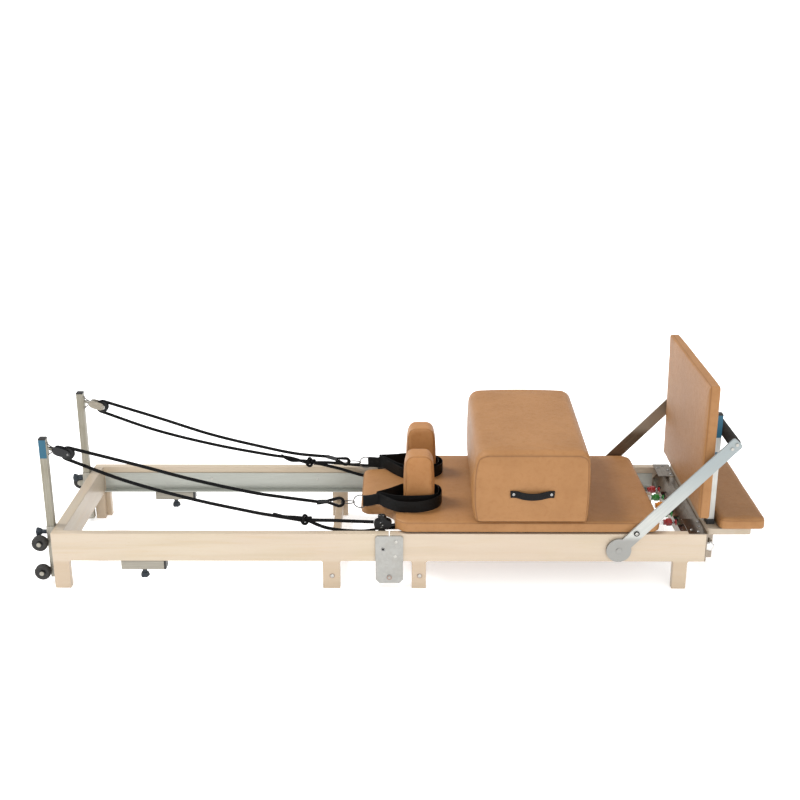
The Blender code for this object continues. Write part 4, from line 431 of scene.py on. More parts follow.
def plywood(name):
    """Sealed plywood deck with veneer layers on its edges; the rope cleats and their
    feet, which share this node, are black nylon."""
    f = Finish(name, (168, 132, 92), Specular_IOR_Level=0.22)
    fibre = f.noise(22.0, 4.0, 0.6, place=f.grained("x", 14.0))
    f.stain(fibre, 0.35, 0.7, (142, 104, 68))
    f.cover(((f.z * (2 * pi / 0.003)).sine() > 0.0) * 0.25, (120, 84, 54))
    deck_top = 0.2206
    cleats = (f.z > deck_top) * (abs(f.y) > 0.258)
    feet = (f.z < deck_top) * (abs(f.y) > 0.2645) * (f.x < SHIFT + 0.02)
    black = cleats.larger(feet)
    f.cover(black, f.tint(f.noise(500.0) * 0.5, paint(3, 3, 4), paint(12, 12, 13)))
    return f.done((1.0 - black) * 0.52 + black * 0.4, (fibre * 0.0002 * (1.0 - black), 0.6))


def bar_finish(name):
    """Foot bar arms: brushed aluminium, painted as a bright lit copy on the near side, with a painted bluish reflection
    higher up and painted shade low down by the rail; the far arm is the same metal, painted dull bronze on the face it
    shows as painted shade and reflection, with a painted lighter band and a darker top."""
    f = Finish(name, (188, 189, 184))
    leaning = f.node("ShaderNodeMapping", None, {"Vector": f.place, "Rotation": (0.0, radians(46.7), 0.0)})
    lines = f.noise(9.0, 4.0, 0.7, place=f.grained("x", 60.0, place=leaning))
    # painted reflection: the near arm turns darker and bluish higher up
    f.stain(f.z, 0.24, 0.5, (142, 151, 153))
    f.stain(lines, 0.3, 0.7, (150, 153, 150), 0.5)
    # painted shade: the near arm darkens low down, where it meets the rail
    f.stain(f.z, 0.215, 0.19, (128, 126, 122), 0.8)
    f.stain(f.noise(5.0, 3.0, 0.6), 0.4, 0.7, (138, 148, 152), 0.2)
    # painted shade and reflection: the far arm is a shaded dull bronze copy of the same metal
    lit_near_colour, f.colour = f.colour, paint(104, 86, 68)
    f.stain(lines, 0.3, 0.7, (128, 112, 94), 0.5)
    # painted light on the far arm: a lighter band from 0.335 m, then a darker top above 0.4 m
    f.stain(f.z, 0.335, 0.375, (170, 160, 146))
    f.stain(f.z, 0.4, 0.5, (118, 106, 92), 0.6)
    far = f.y > 0.0
    f.colour = f.tint(far, lit_near_colour, f.colour)
    f.set("Metallic", far * 0.45 + 0.35)
    return f.done(0.34 + lines * 0.14, (lines * 0.00006, 0.5))


def folded_steel(name):
    """Bright folded sheet steel: slightly wavy, so that it breaks up what it mirrors."""
    f = Finish(name, (150, 140, 128), Metallic=1.0)
    lines = f.noise(9.0, 4.0, 0.7, place=f.grained("y", 60.0))
    smudge = f.noise(26.0, 4.0, 0.65)
    f.stain(lines, 0.3, 0.7, (128, 117, 105))
    f.stain(smudge, 0.48, 0.7, (104, 94, 84), 0.5)
    wave = f.noise(9.0, distortion=0.8)
    return f.done(0.14 + smudge * 0.16, (wave * 0.003 + lines * 0.00005, 0.6))


def wheel_finish(name, x, z):
    """A transport wheel seen by its distance from the axle: bolt and washer, black
    nylon hub, dark rubber tread."""
    f = Finish(name, (7, 7, 7))
    out = ((f.x - x) ** 2.0 + (f.z - z) ** 2.0) ** 0.5
    bolt, tread = out < 0.008, out > 0.0155
    scuff = f.noise(40.0, 4.0, 0.6)
    f.cover(tread, f.tint(f.span(scuff, 0.4, 0.7), paint(30, 29, 27), paint(46, 44, 41)))
    f.cover(bolt, (140, 136, 128))
    f.set("Metallic", bolt * 0.8)
    return f.done(0.42 + tread * 0.26 + scuff * 0.1, (f.noise(700.0) * 0.0002 + scuff * 0.0003, 0.6))


# ---------------------------------------------------------------- shaping helpers

def piece_from(bm, name, finish, body, replaces=None, smooth=38.0):
    """Turns a bmesh into a finished piece that rides on a body, takes a slot's finish
    and stands in for a CAD node."""
    bmesh.ops.recalc_face_normals(bm, faces=bm.faces)
    mesh = bpy.data.meshes.new(name)
    bm.to_mesh(mesh)
    bm.free()
    for polygon in mesh.polygons:
        polygon.use_smooth = True
    mesh.set_sharp_from_angle(angle=radians(smooth))
    mesh.materials.append(finish)
    piece = stand(name, mesh)
    if body:
        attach(piece, body)
    if replaces:
        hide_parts(replaces)
    return piece


def close_ends(bm):
    edges = [edge for edge in bm.edges if len(edge.link_faces) == 1]
    bmesh.ops.holes_fill(bm, edges=edges, sides=0)


def smooth_line(anchors, spacing=0.006):
    """Points a spacing apart on a Catmull-Rom curve through the anchors."""
    anchors = [Vector(a) for a in anchors]
    padded = [2 * anchors[0] - anchors[1], *anchors, 2 * anchors[-1] - anchors[-2]]
    dense = []
    for a, b, c, d in zip(padded, padded[1:], padded[2:], padded[3:]):
        for step in range(20):
            t = step / 20
            dense.append(0.5 * ((2 * b) + (c - a) * t + (2 * a - 5 * b + 4 * c - d) * t * t
                                + (3 * b - a - 3 * c + d) * t ** 3))
    dense.append(anchors[-1])
    travelled = [0.0]
    for first, second in zip(dense, dense[1:]):
        travelled.append(travelled[-1] + (second - first).length)
    count = max(3, round(travelled[-1] / spacing) + 1)
    line = []
    index = 0
    for step in range(count):
        goal = travelled[-1] * step / (count - 1)
        while index < len(dense) - 2 and travelled[index + 1] < goal:
            index += 1
        span = travelled[index + 1] - travelled[index]
        line.append(dense[index].lerp(dense[index + 1], (goal - travelled[index]) / span if span else 0.0))
    return line


def sweep(section, line, up=None, sizes=None, closed=False):
    """A section, given as points across and up, carried along a line and filled at its
    ends. The UV map "lie" has across in x (a share of one turn for a round section)
    and metres along in y."""
    bm = bmesh.new()
    turn = bm.verts.layers.float.new("turn")
    along = bm.verts.layers.float.new("along")
    line = [Vector(p) for p in line]
    steps = [(b - a).normalized() for a, b in zip(line, line[1:])]
    tangents = [steps[0]] + [(a + b).normalized() for a, b in zip(steps, steps[1:])] + [steps[-1]]
    if closed:
        tangents[0] = tangents[-1] = (steps[0] + steps[-1]).normalized()
    upright = Vector(up) if up else (Vector((0, 0, 1)) if abs(tangents[0].z) < 0.9 else Vector((0, 1, 0)))
    side = tangents[0].cross(upright).normalized()
    upright = side.cross(tangents[0]).normalized()
    ring = []
    is_round = len(section[0]) == 3
    for entry in section:
        vert = bm.verts.new(line[0] + side * entry[0] + upright * entry[1])
        vert[turn] = entry[2] if is_round else entry[1]
        ring.append(vert)
    edges = [bm.edges.new(pair) for pair in zip(ring, ring[1:] + ring[:1])]
    first_edges = list(edges)
    sizes = sizes or [1.0] * len(line)
    travelled, size = 0.0, 1.0
    for index, place in enumerate(line):
        if index:
            made = bmesh.ops.extrude_edge_only(bm, edges=edges)["geom"]
            ring = [item for item in made if isinstance(item, bmesh.types.BMVert)]
            edges = [item for item in made if isinstance(item, bmesh.types.BMEdge)]
            step = place - line[index - 1]
            travelled += step.length
            bmesh.ops.translate(bm, vec=step, verts=ring)
            ahead = tangents[index - 1:index + 1]
            if up:
                ahead = [tangent - Vector(up) * tangent.dot(Vector(up)) for tangent in ahead]
            swing = ahead[0].rotation_difference(ahead[1])
            bmesh.ops.rotate(bm, cent=place, matrix=swing.to_matrix(), verts=ring)
        if sizes[index] != size:
            bmesh.ops.scale(bm, vec=(sizes[index] / size,) * 3, space=Matrix.Translation(-place), verts=ring)
            size = sizes[index]
        for vert in ring:
            vert[along] = travelled
    if closed:
        bmesh.ops.bridge_loops(bm, edges=first_edges + edges)
        bmesh.ops.remove_doubles(bm, verts=bm.verts, dist=0.00001)
    lie = bm.loops.layers.uv.new("lie")
    for face in bm.faces:
        shares = [loop.vert[turn] for loop in face.loops]
        wraps = is_round and max(shares) - min(shares) > 0.5
        for loop, across in zip(face.loops, shares):
            loop[lie].uv = (across + 1.0 if wraps and across < 0.5 else across, loop.vert[along])
    if not closed:
        close_ends(bm)
    return bm


def rod(line, radius, sides, sizes=None, closed=False):
    """A round bar along a line."""
    turns = [2 * pi * i / sides for i in range(sides)]
    section = [(radius * cos(turn), radius * sin(turn), i / sides) for i, turn in enumerate(turns)]
    return sweep(section, line, sizes=sizes, closed=closed)


def flat_section(thickness, height, edge=0.0008):
    """A strap's section standing on edge, with rounded borders."""
    t, h = thickness / 2, height / 2
    return [(t, -h + edge), (t, 0.0), (t, h - edge), (t - edge, h), (-t + edge, h), (-t, h - edge),
            (-t, 0.0), (-t, -h + edge), (-t + edge, -h), (t - edge, -h)]


def turned(profile, place, axis, steps=32):
    """A profile of (radius, height) spun about an axis through a place."""
    bm = bmesh.new()
    verts = [bm.verts.new((radius, 0.0, height)) for radius, height in profile]
    edges = [bm.edges.new(pair) for pair in zip(verts, verts[1:])]
    bmesh.ops.spin(bm, geom=verts + edges, cent=(0, 0, 0), axis=(0, 0, 1), angle=2 * pi,
                   steps=steps, use_merge=True)
    bmesh.ops.remove_doubles(bm, verts=bm.verts, dist=0.000005)
    swing = Vector((0, 0, 1)).rotation_difference(Vector(axis)).to_matrix()
    bmesh.ops.rotate(bm, cent=(0, 0, 0), matrix=swing, verts=bm.verts)
    bmesh.ops.translate(bm, vec=Vector(place), verts=bm.verts)
    return bm


def slab(corners, roundings, depth):
    """A flat outline with rounded corners, extruded by depth."""
    bm = bmesh.new()
    verts = [bm.verts.new(corner) for corner in corners]
    bm.faces.new(verts)
    for radius in sorted(set(roundings)):
        picked = [vert for vert, rounding in zip(verts, roundings) if rounding == radius]
        bmesh.ops.bevel(bm, geom=picked, offset=radius, offset_type="OFFSET", affect="VERTICES", segments=8,
                        profile=0.5, material=-1)
    made = bmesh.ops.extrude_face_region(bm, geom=list(bm.faces))["geom"]
    bmesh.ops.translate(bm, vec=Vector(depth), verts=[v for v in made if isinstance(v, bmesh.types.BMVert)])
    close_ends(bm)
    bmesh.ops.recalc_face_normals(bm, faces=bm.faces)
    return bm


def soften(bm, width, steps=3, sharper_than=0.6):
    """Rounds every edge that turns more sharply than an angle."""
    edges = [edge for edge in bm.edges if len(edge.link_faces) == 2 and edge.calc_face_angle(0.0) > sharper_than]
    bmesh.ops.bevel(bm, geom=edges, offset=width, offset_type="OFFSET", affect="EDGES", segments=steps,
                    profile=0.5, clamp_overlap=True, material=-1)


def merged(parts):
    """Several bmeshes in one."""
    whole = bmesh.new()
    for part in parts:
        mesh = bpy.data.meshes.new("part")
        part.to_mesh(mesh)
        part.free()
        whole.from_mesh(mesh)
        bpy.data.meshes.remove(mesh)
    return whole


# ---------------------------------------------------------------- ropes

# Where each knot is, and the centre and radius of each split ring, as x and z.
KNOTS = {-1: (-0.295, 0.249), 1: (-0.321, 0.2415)}
RINGS = {-1: (-0.1055, 0.279, 0.024), 1: (-0.0985, 0.2745, 0.022)}
# Where each rope enters its sleeve, where the sleeve meets the eye, and the far end
# of the eye, as x and z.
SPLICES = {-1: ((-0.2575, 0.281), (-0.2225, 0.2783), (-0.16, 0.2757)),
           1: ((-0.249, 0.2965), (-0.213, 0.288), (-0.1571, 0.276))}
# The ropes' lengths from one end to the other, as x and z.
UPPER_RUN = ((-0.37, 0.3), (-0.5, 0.325), (-0.7, 0.378), (-0.9, 0.441))
LOWER_RUN = ((-0.925, 0.385), (-0.7, 0.321), (-0.49, 0.2755), (-0.4, 0.26))
TO_CLEAT = {-1: ((-0.245, 0.2455), (-0.19, 0.2447), (-0.12, 0.2417), (-0.0553, 0.2396)),
            1: ((-0.253, 0.2385), (-0.194, 0.2345), (-0.12, 0.227), (-0.0553, 0.225))}
SAG = {-1: ((-0.262, 0.232), (-0.23, 0.219), (-0.19, 0.21), (-0.145, 0.205), (-0.09, 0.204),
            (-0.05, 0.209)),
       1: ((-0.285, 0.233), (-0.249, 0.224), (-0.203, 0.212), (-0.157, 0.197), (-0.107, 0.183),
           (-0.072, 0.186), (-0.046, 0.206))}
# Between these two places the lengths by the post turn into the runs towards the
# carriage. Their ends overlap a little.
POST_END = -1.088 + SHIFT
RUN_END = -1.066 + SHIFT
OVERLAP = 0.004


def trefoil(centre, reach, depth, lean, spin):
    """A closed overhand knot's line about a centre."""
    turn = Matrix.Rotation(lean, 3, "Y") @ Matrix.Rotation(spin, 3, "Z")
    face = Matrix(((1, 0, 0), (0, 0, -1), (0, 1, 0)))
    line = []
    for step in range(73):
        t = 2 * pi * step / 72
        loop = Vector((sin(t) + 2 * sin(2 * t), cos(t) - 2 * cos(2 * t), 0.0)) * (reach / 3)
        loop.z = -depth * sin(3 * t)
        line.append(Vector(centre) + turn @ (face @ loop))
    return line


def make_ropes(rope):
    """Each rope from its spliced eye over the sheave, down through its knot, round
    the cleat and back to the knot, in lengths: the runs ride on the head frame, the knot and tail on the rope ends, and
    the rest stay where they are made."""
    wrap = 0.022
    splice_y = RING_Y + 0.008
    for side, label in SIDES:
        def strand(word, line, body, replaces=None, sizes=None):
            bm = rod(line, ROPE_DIAMETER / 2, 16, sizes)
            return piece_from(bm, f"rope_{label}_{word}", rope, body, replaces)

        def by_knot(x, z, y=0.0):
            return at(knot_x + x, side * (CLEAT_Y - y), knot_z + z)

        def sideways(x, z, start, y):
            share = (x - start) / (centre.x - SHIFT - start)
            return at(x, side * (y + (POST_Y - y) * share), z)

        knot_x, knot_z = KNOTS[side]
        start_x, start_z = SPLICES[side][0]
        centre = sheave_centre(side)
        sheave = [centre + Vector((wrap * cos(radians(a)), 0, wrap * sin(radians(a))))
                  for a in (76 + (247 - 76) * i / 14 for i in range(15))]
        upper = [sideways(x, z + (0.006 if side > 0 and x > -0.6 else 0.0), start_x, splice_y) for x, z in UPPER_RUN]
        upper = smooth_line([at(start_x, side * splice_y, start_z), *upper, sheave[0]])
        lower = [sideways(x, z, knot_x, CLEAT_Y) for x, z in LOWER_RUN]
        lower = smooth_line([sheave[-1], *lower, by_knot(-0.014, -0.004)])
        bight = []
        runs, links = [], []
        for line in (upper, lower):
            runs.append([p for p in line if p.x > RUN_END - OVERLAP])
            links.append([p for p in line if POST_END - OVERLAP < p.x <= RUN_END + OVERLAP])
            bight.append([p for p in line if p.x <= POST_END + OVERLAP])
        bight = bight[0] + sheave[1:-1] + bight[1]

        for word, line, far_x, node in (("to_pulley", runs[0], runs[0][0].x, f"rope_{label}"),
                                        ("from_pulley", runs[1], runs[1][-1].x, None)):
            piece = strand(word, line, "head_frame", node)
            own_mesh(piece)
        joins = []
        for word, line in zip(("link_up", "link_down"), links):
            joins.append(strand(word, line, None))
            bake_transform(joins[-1])
        turn = strand("round_sheave", bight, None)
        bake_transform(turn)
        knot = rod(trefoil(by_knot(0, 0), 0.0185, 0.0056, 0.5, 0.6), ROPE_DIAMETER * 0.42, 14, closed=True)
        knot = piece_from(knot, f"rope_{label}_knot", rope, "rope_ends")

        for word, first, places, lay in (("to_cleat", by_knot(0.01, -0.0025), TO_CLEAT, "taut"),
                                         ("back_to_knot", by_knot(0.012, -0.006), SAG, "hanging")):
            line = smooth_line([first, *(at(x, side * CLEAT_Y, z) for x, z in places[side])])
            lead = strand(word, line, None)
            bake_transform(lead)
        rise = 0.0105 if side < 0 else 0.022
        line = smooth_line([by_knot(-0.008, 0.004, 0.001), by_knot(-0.04, 0.0065, 0.003),
                            by_knot(-0.078, 0.0085, 0.004), by_knot(-0.116, 0.0085 + rise, 0.005)])
        tail = strand("tail", line, "rope_ends", sizes=[1.0] * (len(line) - 1) + [0.92])


def teardrop(left, right, y, wide, slim):
    """A closed teardrop line between two points (x, z), narrow at the left one; the
    radii are of its wide and slim ends."""
    first = at(left[0], y, left[1])
    last = at(right[0], y, right[1])
    ahead = (last - first).normalized()
    upward = Vector((-ahead.z, 0, ahead.x))
    span = (last - first).length
    lean = acos((slim - wide) / (span - wide - slim))
    turns = [(span - wide, wide, -lean + 2 * lean * i / 18) for i in range(19)]
    turns += [(slim, slim, lean + (2 * pi - 2 * lean) * i / 8) for i in range(9)]
    line = [first + ahead * (middle + radius * cos(a)) + upward * (radius * sin(a))
            for middle, radius, a in turns]
    return line + line[:1]


def make_rope_hooks(rope, sleeve, steel, ferrule):
    """Splice sleeve, eye with its thimble, link and split ring at each rope's end."""
    def add(name, bm, finish=steel, node=None):
        piece_from(bm, name, finish, "rope_ends", node)

    thick = 0.005
    for side, label in SIDES:
        y = side * RING_Y
        (start_x, start_z), (join_x, join_z), (end_x, end_z) = SPLICES[side]
        ring_x, ring_z, ring_r = RINGS[side]
        wide = 0.0162 if side < 0 else 0.0136
        inside_x = end_x - 2.0 * thick
        line = teardrop((join_x, join_z), (end_x - thick, end_z), y, wide, 0.0048)
        add(f"rope_{label}_eye", rod(line, thick, 14, closed=True), rope, f"rope_hook_{label}")
        line = teardrop((join_x + 0.01, join_z), (inside_x - 0.0004, end_z), y, wide - 0.0058, 0.0016)
        add(f"thimble_{label}", rod(line, 0.0016, 10, closed=True))
        # the splice is covered on the near side and bare metal on the far one
        start = at(start_x, side * (RING_Y + 0.008), start_z)
        stop = at(join_x + 0.003, side * (RING_Y + 0.0005), join_z)
        line = [start.lerp(stop, t) for t in (0.0, 0.06, 0.3, 0.7, 0.94, 1.0)]
        sizes, finish, slot = (((0.84, 1.0, 1.02, 1.0, 1.0, 0.86), sleeve, "black_plastic") if side < 0 else
                               ((0.92, 1.0, 0.97, 1.03, 1.0, 0.92), ferrule, "stainless"))
        add(f"splice_{label}", rod(line, 0.0076, 20, sizes), finish)
        if side < 0:
            stub = smooth_line([start + Vector((-0.003, 0, -0.007)), start + Vector((0.012, 0, -0.0055)),
                                stop + Vector((-0.006, 0, -0.001))], 0.004)
            add("rope_near_splice_end", rod(stub, 0.0046, 12), rope)
        # a link goes through the eye and round the ring
        left = inside_x - 0.0042
        right = ring_x - ring_r + 0.0032
        line = []
        for t in (2 * pi * i / 32 for i in range(32)):
            x = (left + right) / 2 + (right - left) / 2 * cos(t)
            z = end_z + (ring_z - end_z) * (x - left) / (right - left) * 0.4 + 0.0054 * sin(t)
            line.append(at(x, y + side * 0.0005, z))
        add(f"rope_link_{label}", rod(line + line[:1], 0.0021, 10, closed=True))
        # the split ring is nearly two turns of wire side by side
        bm = bmesh.new()
        wire = bmesh.ops.create_circle(bm, cap_ends=False, segments=8, radius=0.0019)["verts"]
        bmesh.ops.translate(bm, vec=(ring_r, 0, 0), verts=wire)
        bmesh.ops.spin(bm, geom=wire + list(bm.edges), cent=(0, 0, 0), axis=(0, 1, 0), dvec=(0, 0.000039, 0),
                       angle=2 * pi * 1.9, steps=96)
        close_ends(bm)
        bmesh.ops.translate(bm, vec=at(ring_x, y - 0.0013, ring_z), verts=bm.verts)
        add(f"split_ring_{label}", bm)


# ---------------------------------------------------------------- straps

# The straps' paths from the sewn tip round the shoulder rest, as x and y.
OUTER_LOOPS = {
    -1: ((-0.0123, -0.218), (0.0288, -0.244), (0.0696, -0.2515), (0.1104, -0.2495), (0.1517, -0.228),
         (0.176, -0.199), (0.187, -0.16), (0.1865, -0.128), (0.176, -0.103), (0.152, -0.0912),
         (0.1, -0.0892), (0.0512, -0.0915), (0.0282, -0.1085), (-0.0008, -0.14)),
    1: ((-0.018, 0.156), (-0.002, 0.13), (0.0272, 0.09), (0.0491, 0.068), (0.08, 0.06),
        (0.12, 0.0605), (0.155, 0.069), (0.177, 0.085), (0.194, 0.112), (0.2, 0.14),
        (0.194, 0.17), (0.174, 0.193), (0.14, 0.21), (0.1, 0.219), (0.0602, 0.219),
        (0.0355, 0.213), (0.0043, 0.2))}
INNER_LOOPS = {
    -1: ((0.01, -0.203), (0.055, -0.2065), (0.105, -0.206), (0.15, -0.2), (0.17, -0.185),
         (0.177, -0.16), (0.177, -0.132), (0.171, -0.108), (0.152, -0.095), (0.1, -0.0938),
         (0.0512, -0.0952), (0.0282, -0.113), (-0.0008, -0.144)),
    1: ((-0.01, 0.154), (0.02, 0.114), (0.045, 0.093), (0.08, 0.088), (0.13, 0.088),
        (0.165, 0.093), (0.18, 0.11), (0.184, 0.14), (0.18, 0.17), (0.165, 0.19),
        (0.13, 0.2), (0.07, 0.204), (0.02, 0.1985), (-0.01, 0.193))}


def loop_line(path, tip, height, tilt):
    """A strap's path round a shoulder rest, from its sewn tip and back to it. It comes
    down from the tab to lie on the pad."""
    line = []
    for x, y in (tip, *path, (tip[0], tip[1] + 0.0005)):
        rise = min(1.0, max(0.0, (0.045 - x) / 0.085))
        line.append(at(x, y, ON_PAD + height / 2 + tilt * rise * rise))
    return smooth_line(line, 0.007)


def make_straps(cloth, tab_cloth):
    """Two webbing loops a side stand on edge, one inside the other, round the shoulder
    rest; a folded tab joins them to the split ring."""
    height = 0.043
    upright = (0, 0, 1)
    for side, label in SIDES:
        tip = (-0.044, side * (RING_Y - 0.003))
        tilt = 0.0085 if side < 0 else 0.001
        for word, path, tall, sway, node in (("loop", OUTER_LOOPS, height, 1.0, f"strap_{label}"),
                                             ("inner_loop", INNER_LOOPS, height + 0.004, 0.35, None)):
            bm = sweep(flat_section(0.0024, tall), loop_line(path[side], tip, tall, tilt), upright)
            for vert in bm.verts:
                x, y, z = vert.co
                lift = max(0.0, (z - PAD_TOP) / height - 0.3)
                wave = 0.0026 * sin(38.0 * x + 3.0 * side) + 0.0018 * sin(61.0 * y + 1.0)
                free = min(1.0, abs(x - tip[0] - SHIFT) / 0.05)
                out = wave * lift * free * sway
                bmesh.ops.translate(bm, vec=(0.4 * out, out, 0), verts=[vert])
            piece_from(bm, f"strap_{label}_{word}", cloth, "carriage", node)
        y = side * RING_Y
        ring_x, ring_z, _ = RINGS[side]
        left = ring_x + 0.0095
        step = 0.0029 if side < 0 else 0.0006
        run = smooth_line([at(left, y, ring_z + 0.0022), at(left + 0.016, y, ring_z + 0.0026),
                           at(left + 0.036, y - side * 0.001, ring_z + 2 * step),
                           at(-0.044, y - side * 0.003, ring_z + 3 * step),
                           at(-0.034, y - side * 0.004, ring_z + 3.2 * step)], 0.004)
        tab = sweep(flat_section(0.0076, 0.042, 0.0022), run, upright, [0.9] + [1.0] * (len(run) - 1))
        tab = piece_from(tab, f"strap_{label}_tab", tab_cloth, None)
        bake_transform(tab)
        wrap = sweep(flat_section(0.0108, 0.0445, 0.003), run[-4:], upright)
        piece_from(wrap, f"strap_{label}_stitched_end", tab_cloth, "carriage")


# ---------------------------------------------------------------- springs

RED, GREEN, YELLOW = ("red", (136, 10, 14)), ("green", (14, 106, 28)), ("yellow", (186, 112, 14))
SPRINGS = ((-0.15, RED), (-0.075, GREEN), (0.0, YELLOW), (0.075, GREEN), (0.15, RED))
SPRING_NECK = ((0.0, 0.0), (0.0085, 0.0), (0.01, 0.0012), (0.01, 0.01), (0.0, 0.0105))
SPRING_KNOB = ((0.0, 0.0095), (0.0105, 0.0095), (0.0142, 0.012), (0.0146, 0.0165), (0.0146, 0.025),
               (0.0135, 0.029), (0.0085, 0.0315), (0.0, 0.032))
SPRING_BALL = ((0.0, 0.0), (0.0038, 0.0004), (0.0062, 0.0028), (0.0066, 0.0056), (0.006, 0.0084),
               (0.0034, 0.0108), (0.0, 0.0112))
SPRING_CUP = ((0.003, 0.0), (0.0095, 0.0006), (0.0118, 0.0026), (0.012, 0.0052), (0.0104, 0.0058),
              (0.008, 0.0036), (0.003, 0.003), (0.003, 0.0))


def coiled(start, length, radius, wire, turns):
    """A close-wound coil of hexagonal wire that goes along x from a point."""
    bm = bmesh.new()
    ring = bmesh.ops.create_circle(bm, cap_ends=False, segments=6, radius=wire)["verts"]
    for axis, move in (("X", (0, 0, radius)), ("Z", (0, 0, 0))):
        bmesh.ops.rotate(bm, cent=(0, 0, 0), matrix=Matrix.Rotation(radians(90), 3, axis), verts=ring)
        bmesh.ops.translate(bm, vec=move, verts=ring)
    steps = turns * 10
    bmesh.ops.spin(bm, geom=ring + list(bm.edges), cent=(0, 0, 0), axis=(1, 0, 0),
                   dvec=(length / steps, 0, 0), angle=2 * pi * turns, steps=steps)
    close_ends(bm)
    bmesh.ops.translate(bm, vec=start, verts=bm.verts)
    return bm


def make_springs(wire_finish, steel, dark):
    """Close-wound extension springs; each ends in a faceted lacquered knob, a ball, a
    cup of the same colour and a dark hook at the channel."""
    wire = 0.0014
    coil_radius = 0.008
    near_end, far_end = 0.448, 0.9995
    for number, (y, (colour, tone)) in enumerate(SPRINGS, 1):
        def here(x, rise=0.0):
            return at(x, y, 0.179 + rise)

        def lathe(profile, x, steps):
            return turned(profile, here(x), (1, 0, 0), steps)

        def fitting(word, bm, finish, body="foot_frame", smooth=38.0):
            piece_from(bm, f"spring_{number}_{word}", finish, body, smooth=smooth)

        coil = coiled(here(near_end), far_end - near_end, coil_radius, wire, 150)
        coil = piece_from(coil, f"spring_{number}_coil", wire_finish, None, f"spring_{number}", 60)
        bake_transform(coil)
        line = smooth_line([here(0.4225), here(0.43, 0.001), here(0.438, 0.005), here(0.448, coil_radius)], 0.003)
        fitting("anchor", rod(line, wire, 8), steel, "carriage")
        finish = lacquer(f"knob_{number}", tone)
        grip = merged([lathe(SPRING_NECK, 0.9985, 12), lathe(SPRING_KNOB, 0.9985, 7)])
        fitting("knob", grip, finish, smooth=20)
        fitting("ball", lathe(SPRING_BALL, 1.0295, 20), steel)
        fitting("cup", lathe(SPRING_CUP, 1.0405, 18), finish)
        line = smooth_line([here(1.04), here(1.046, 0.002), here(1.05, 0.008), here(1.046, 0.0135),
                            here(1.04, 0.012)], 0.002)
        fitting("hook", rod(line, 0.0023, 10), dark)


# ---------------------------------------------------------------- padded pieces

FRAMES = 24
STUFFED_AT = 16


def stuff(pads):
    """Blows the remeshed pads up as cloth for a few frames and holds each point within
    its cap; the part that rests on something is pinned."""
    scene = bpy.context.scene
    scene.frame_start = 1
    scene.frame_end = FRAMES
    swell(scene, pads)
    for pad in pads:
        piece = pad["piece"]
        low, high = pad["within"]
        for vertex in piece.data.vertices:
            for axis in range(3):
                vertex.co[axis] = min(max(vertex.co[axis], low[axis]), high[axis])
        round_off = piece.modifiers.new("round_off", "SUBSURF")
        round_off.levels = round_off.render_levels = 1
        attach(piece, pad["body"])
        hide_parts(pad["node"])


def swell(scene, pads):
    """The cloth simulation of every pad at once."""
    for pad in pads:
        piece = pad["piece"]
        pins = piece.vertex_groups.new(name="rest")
        pins.add([v.index for v in piece.data.vertices if pad["held"](v.co)], 1.0, "REPLACE")
        cloth = piece.modifiers.new("stuffing", "CLOTH")
        for name, value in (("use_pressure", True), ("uniform_pressure_force", pad["pressure"]), ("quality", 4),
                            ("mass", 0.35), ("tension_stiffness", 30), ("compression_stiffness", 30),
                            ("shear_stiffness", 12), ("bending_stiffness", 4), ("vertex_group_mass", "rest")):
            setattr(cloth.settings, name, value)
        cloth.settings.effector_weights.gravity = 0.0
        cloth.collision_settings.use_collision = False
        cloth.point_cache.frame_start = 1
        cloth.point_cache.frame_end = FRAMES
    for step in range(1, STUFFED_AT + 1):
        scene.frame_set(step)
    graph = bpy.context.evaluated_depsgraph_get()
    for pad in pads:
        piece = pad["piece"]
        swollen = piece.evaluated_get(graph).to_mesh()
        moved = [v.co.copy() for v in swollen.vertices]
        piece.evaluated_get(graph).to_mesh_clear()
        for vertex, new in zip(piece.data.vertices, moved):
            shift = new - vertex.co
            if shift.length > pad["cap"]:
                shift *= pad["cap"] / shift.length
            vertex.co = vertex.co + shift
    for pad in pads:
        pad["piece"].modifiers.remove(pad["piece"].modifiers["stuffing"])
    scene.frame_set(1)


def remeshed(bm, name, finish, voxel):
    """The form in even small squares, ready to swell."""
    rough = piece_from(bm, name + "_form", finish, None)
    remesh = rough.modifiers.new("remesh", "REMESH")
    remesh.mode = "VOXEL"
    remesh.voxel_size = voxel
    graph = bpy.context.evaluated_depsgraph_get()
    mesh = bpy.data.meshes.new_from_object(rough.evaluated_get(graph))
    bpy.data.objects.remove(rough)
    mesh.name = name
    for polygon in mesh.polygons:
        polygon.use_smooth = True
    mesh.materials.clear()
    mesh.materials.append(finish)
    return stand(name, mesh)


def bulge_box(piece):
    """The stuffed box's sides and top swell, more at the near left and the far right."""
    for vertex in piece.data.vertices:
        x, y, z = vertex.co
        across = (x - SHIFT - 0.499) / 0.191
        along = (y + 0.3325) / 0.665
        high = (z - ON_PAD) / 0.2605
        belly = sin(pi * min(1.0, max(0.0, high)) ** 0.8)
        if across < 0:
            x += across * (0.007 + 0.015 * belly) * (1.0 - 0.7 * along)
        else:
            x += across * (0.0019 + 0.006 * belly + 0.015 * along)
        z += high * high * (0.0015 + 0.0095 * along) * (1.0 - 0.6 * across * across)
        near = max(0.0, (-0.3025 - y) / 0.03) ** 2
        z -= 0.0125 * near * max(0.0, (high - 0.75) / 0.25)
        x -= 0.0045 * near * across * abs(across) ** 3
        vertex.co = (x, y, z)


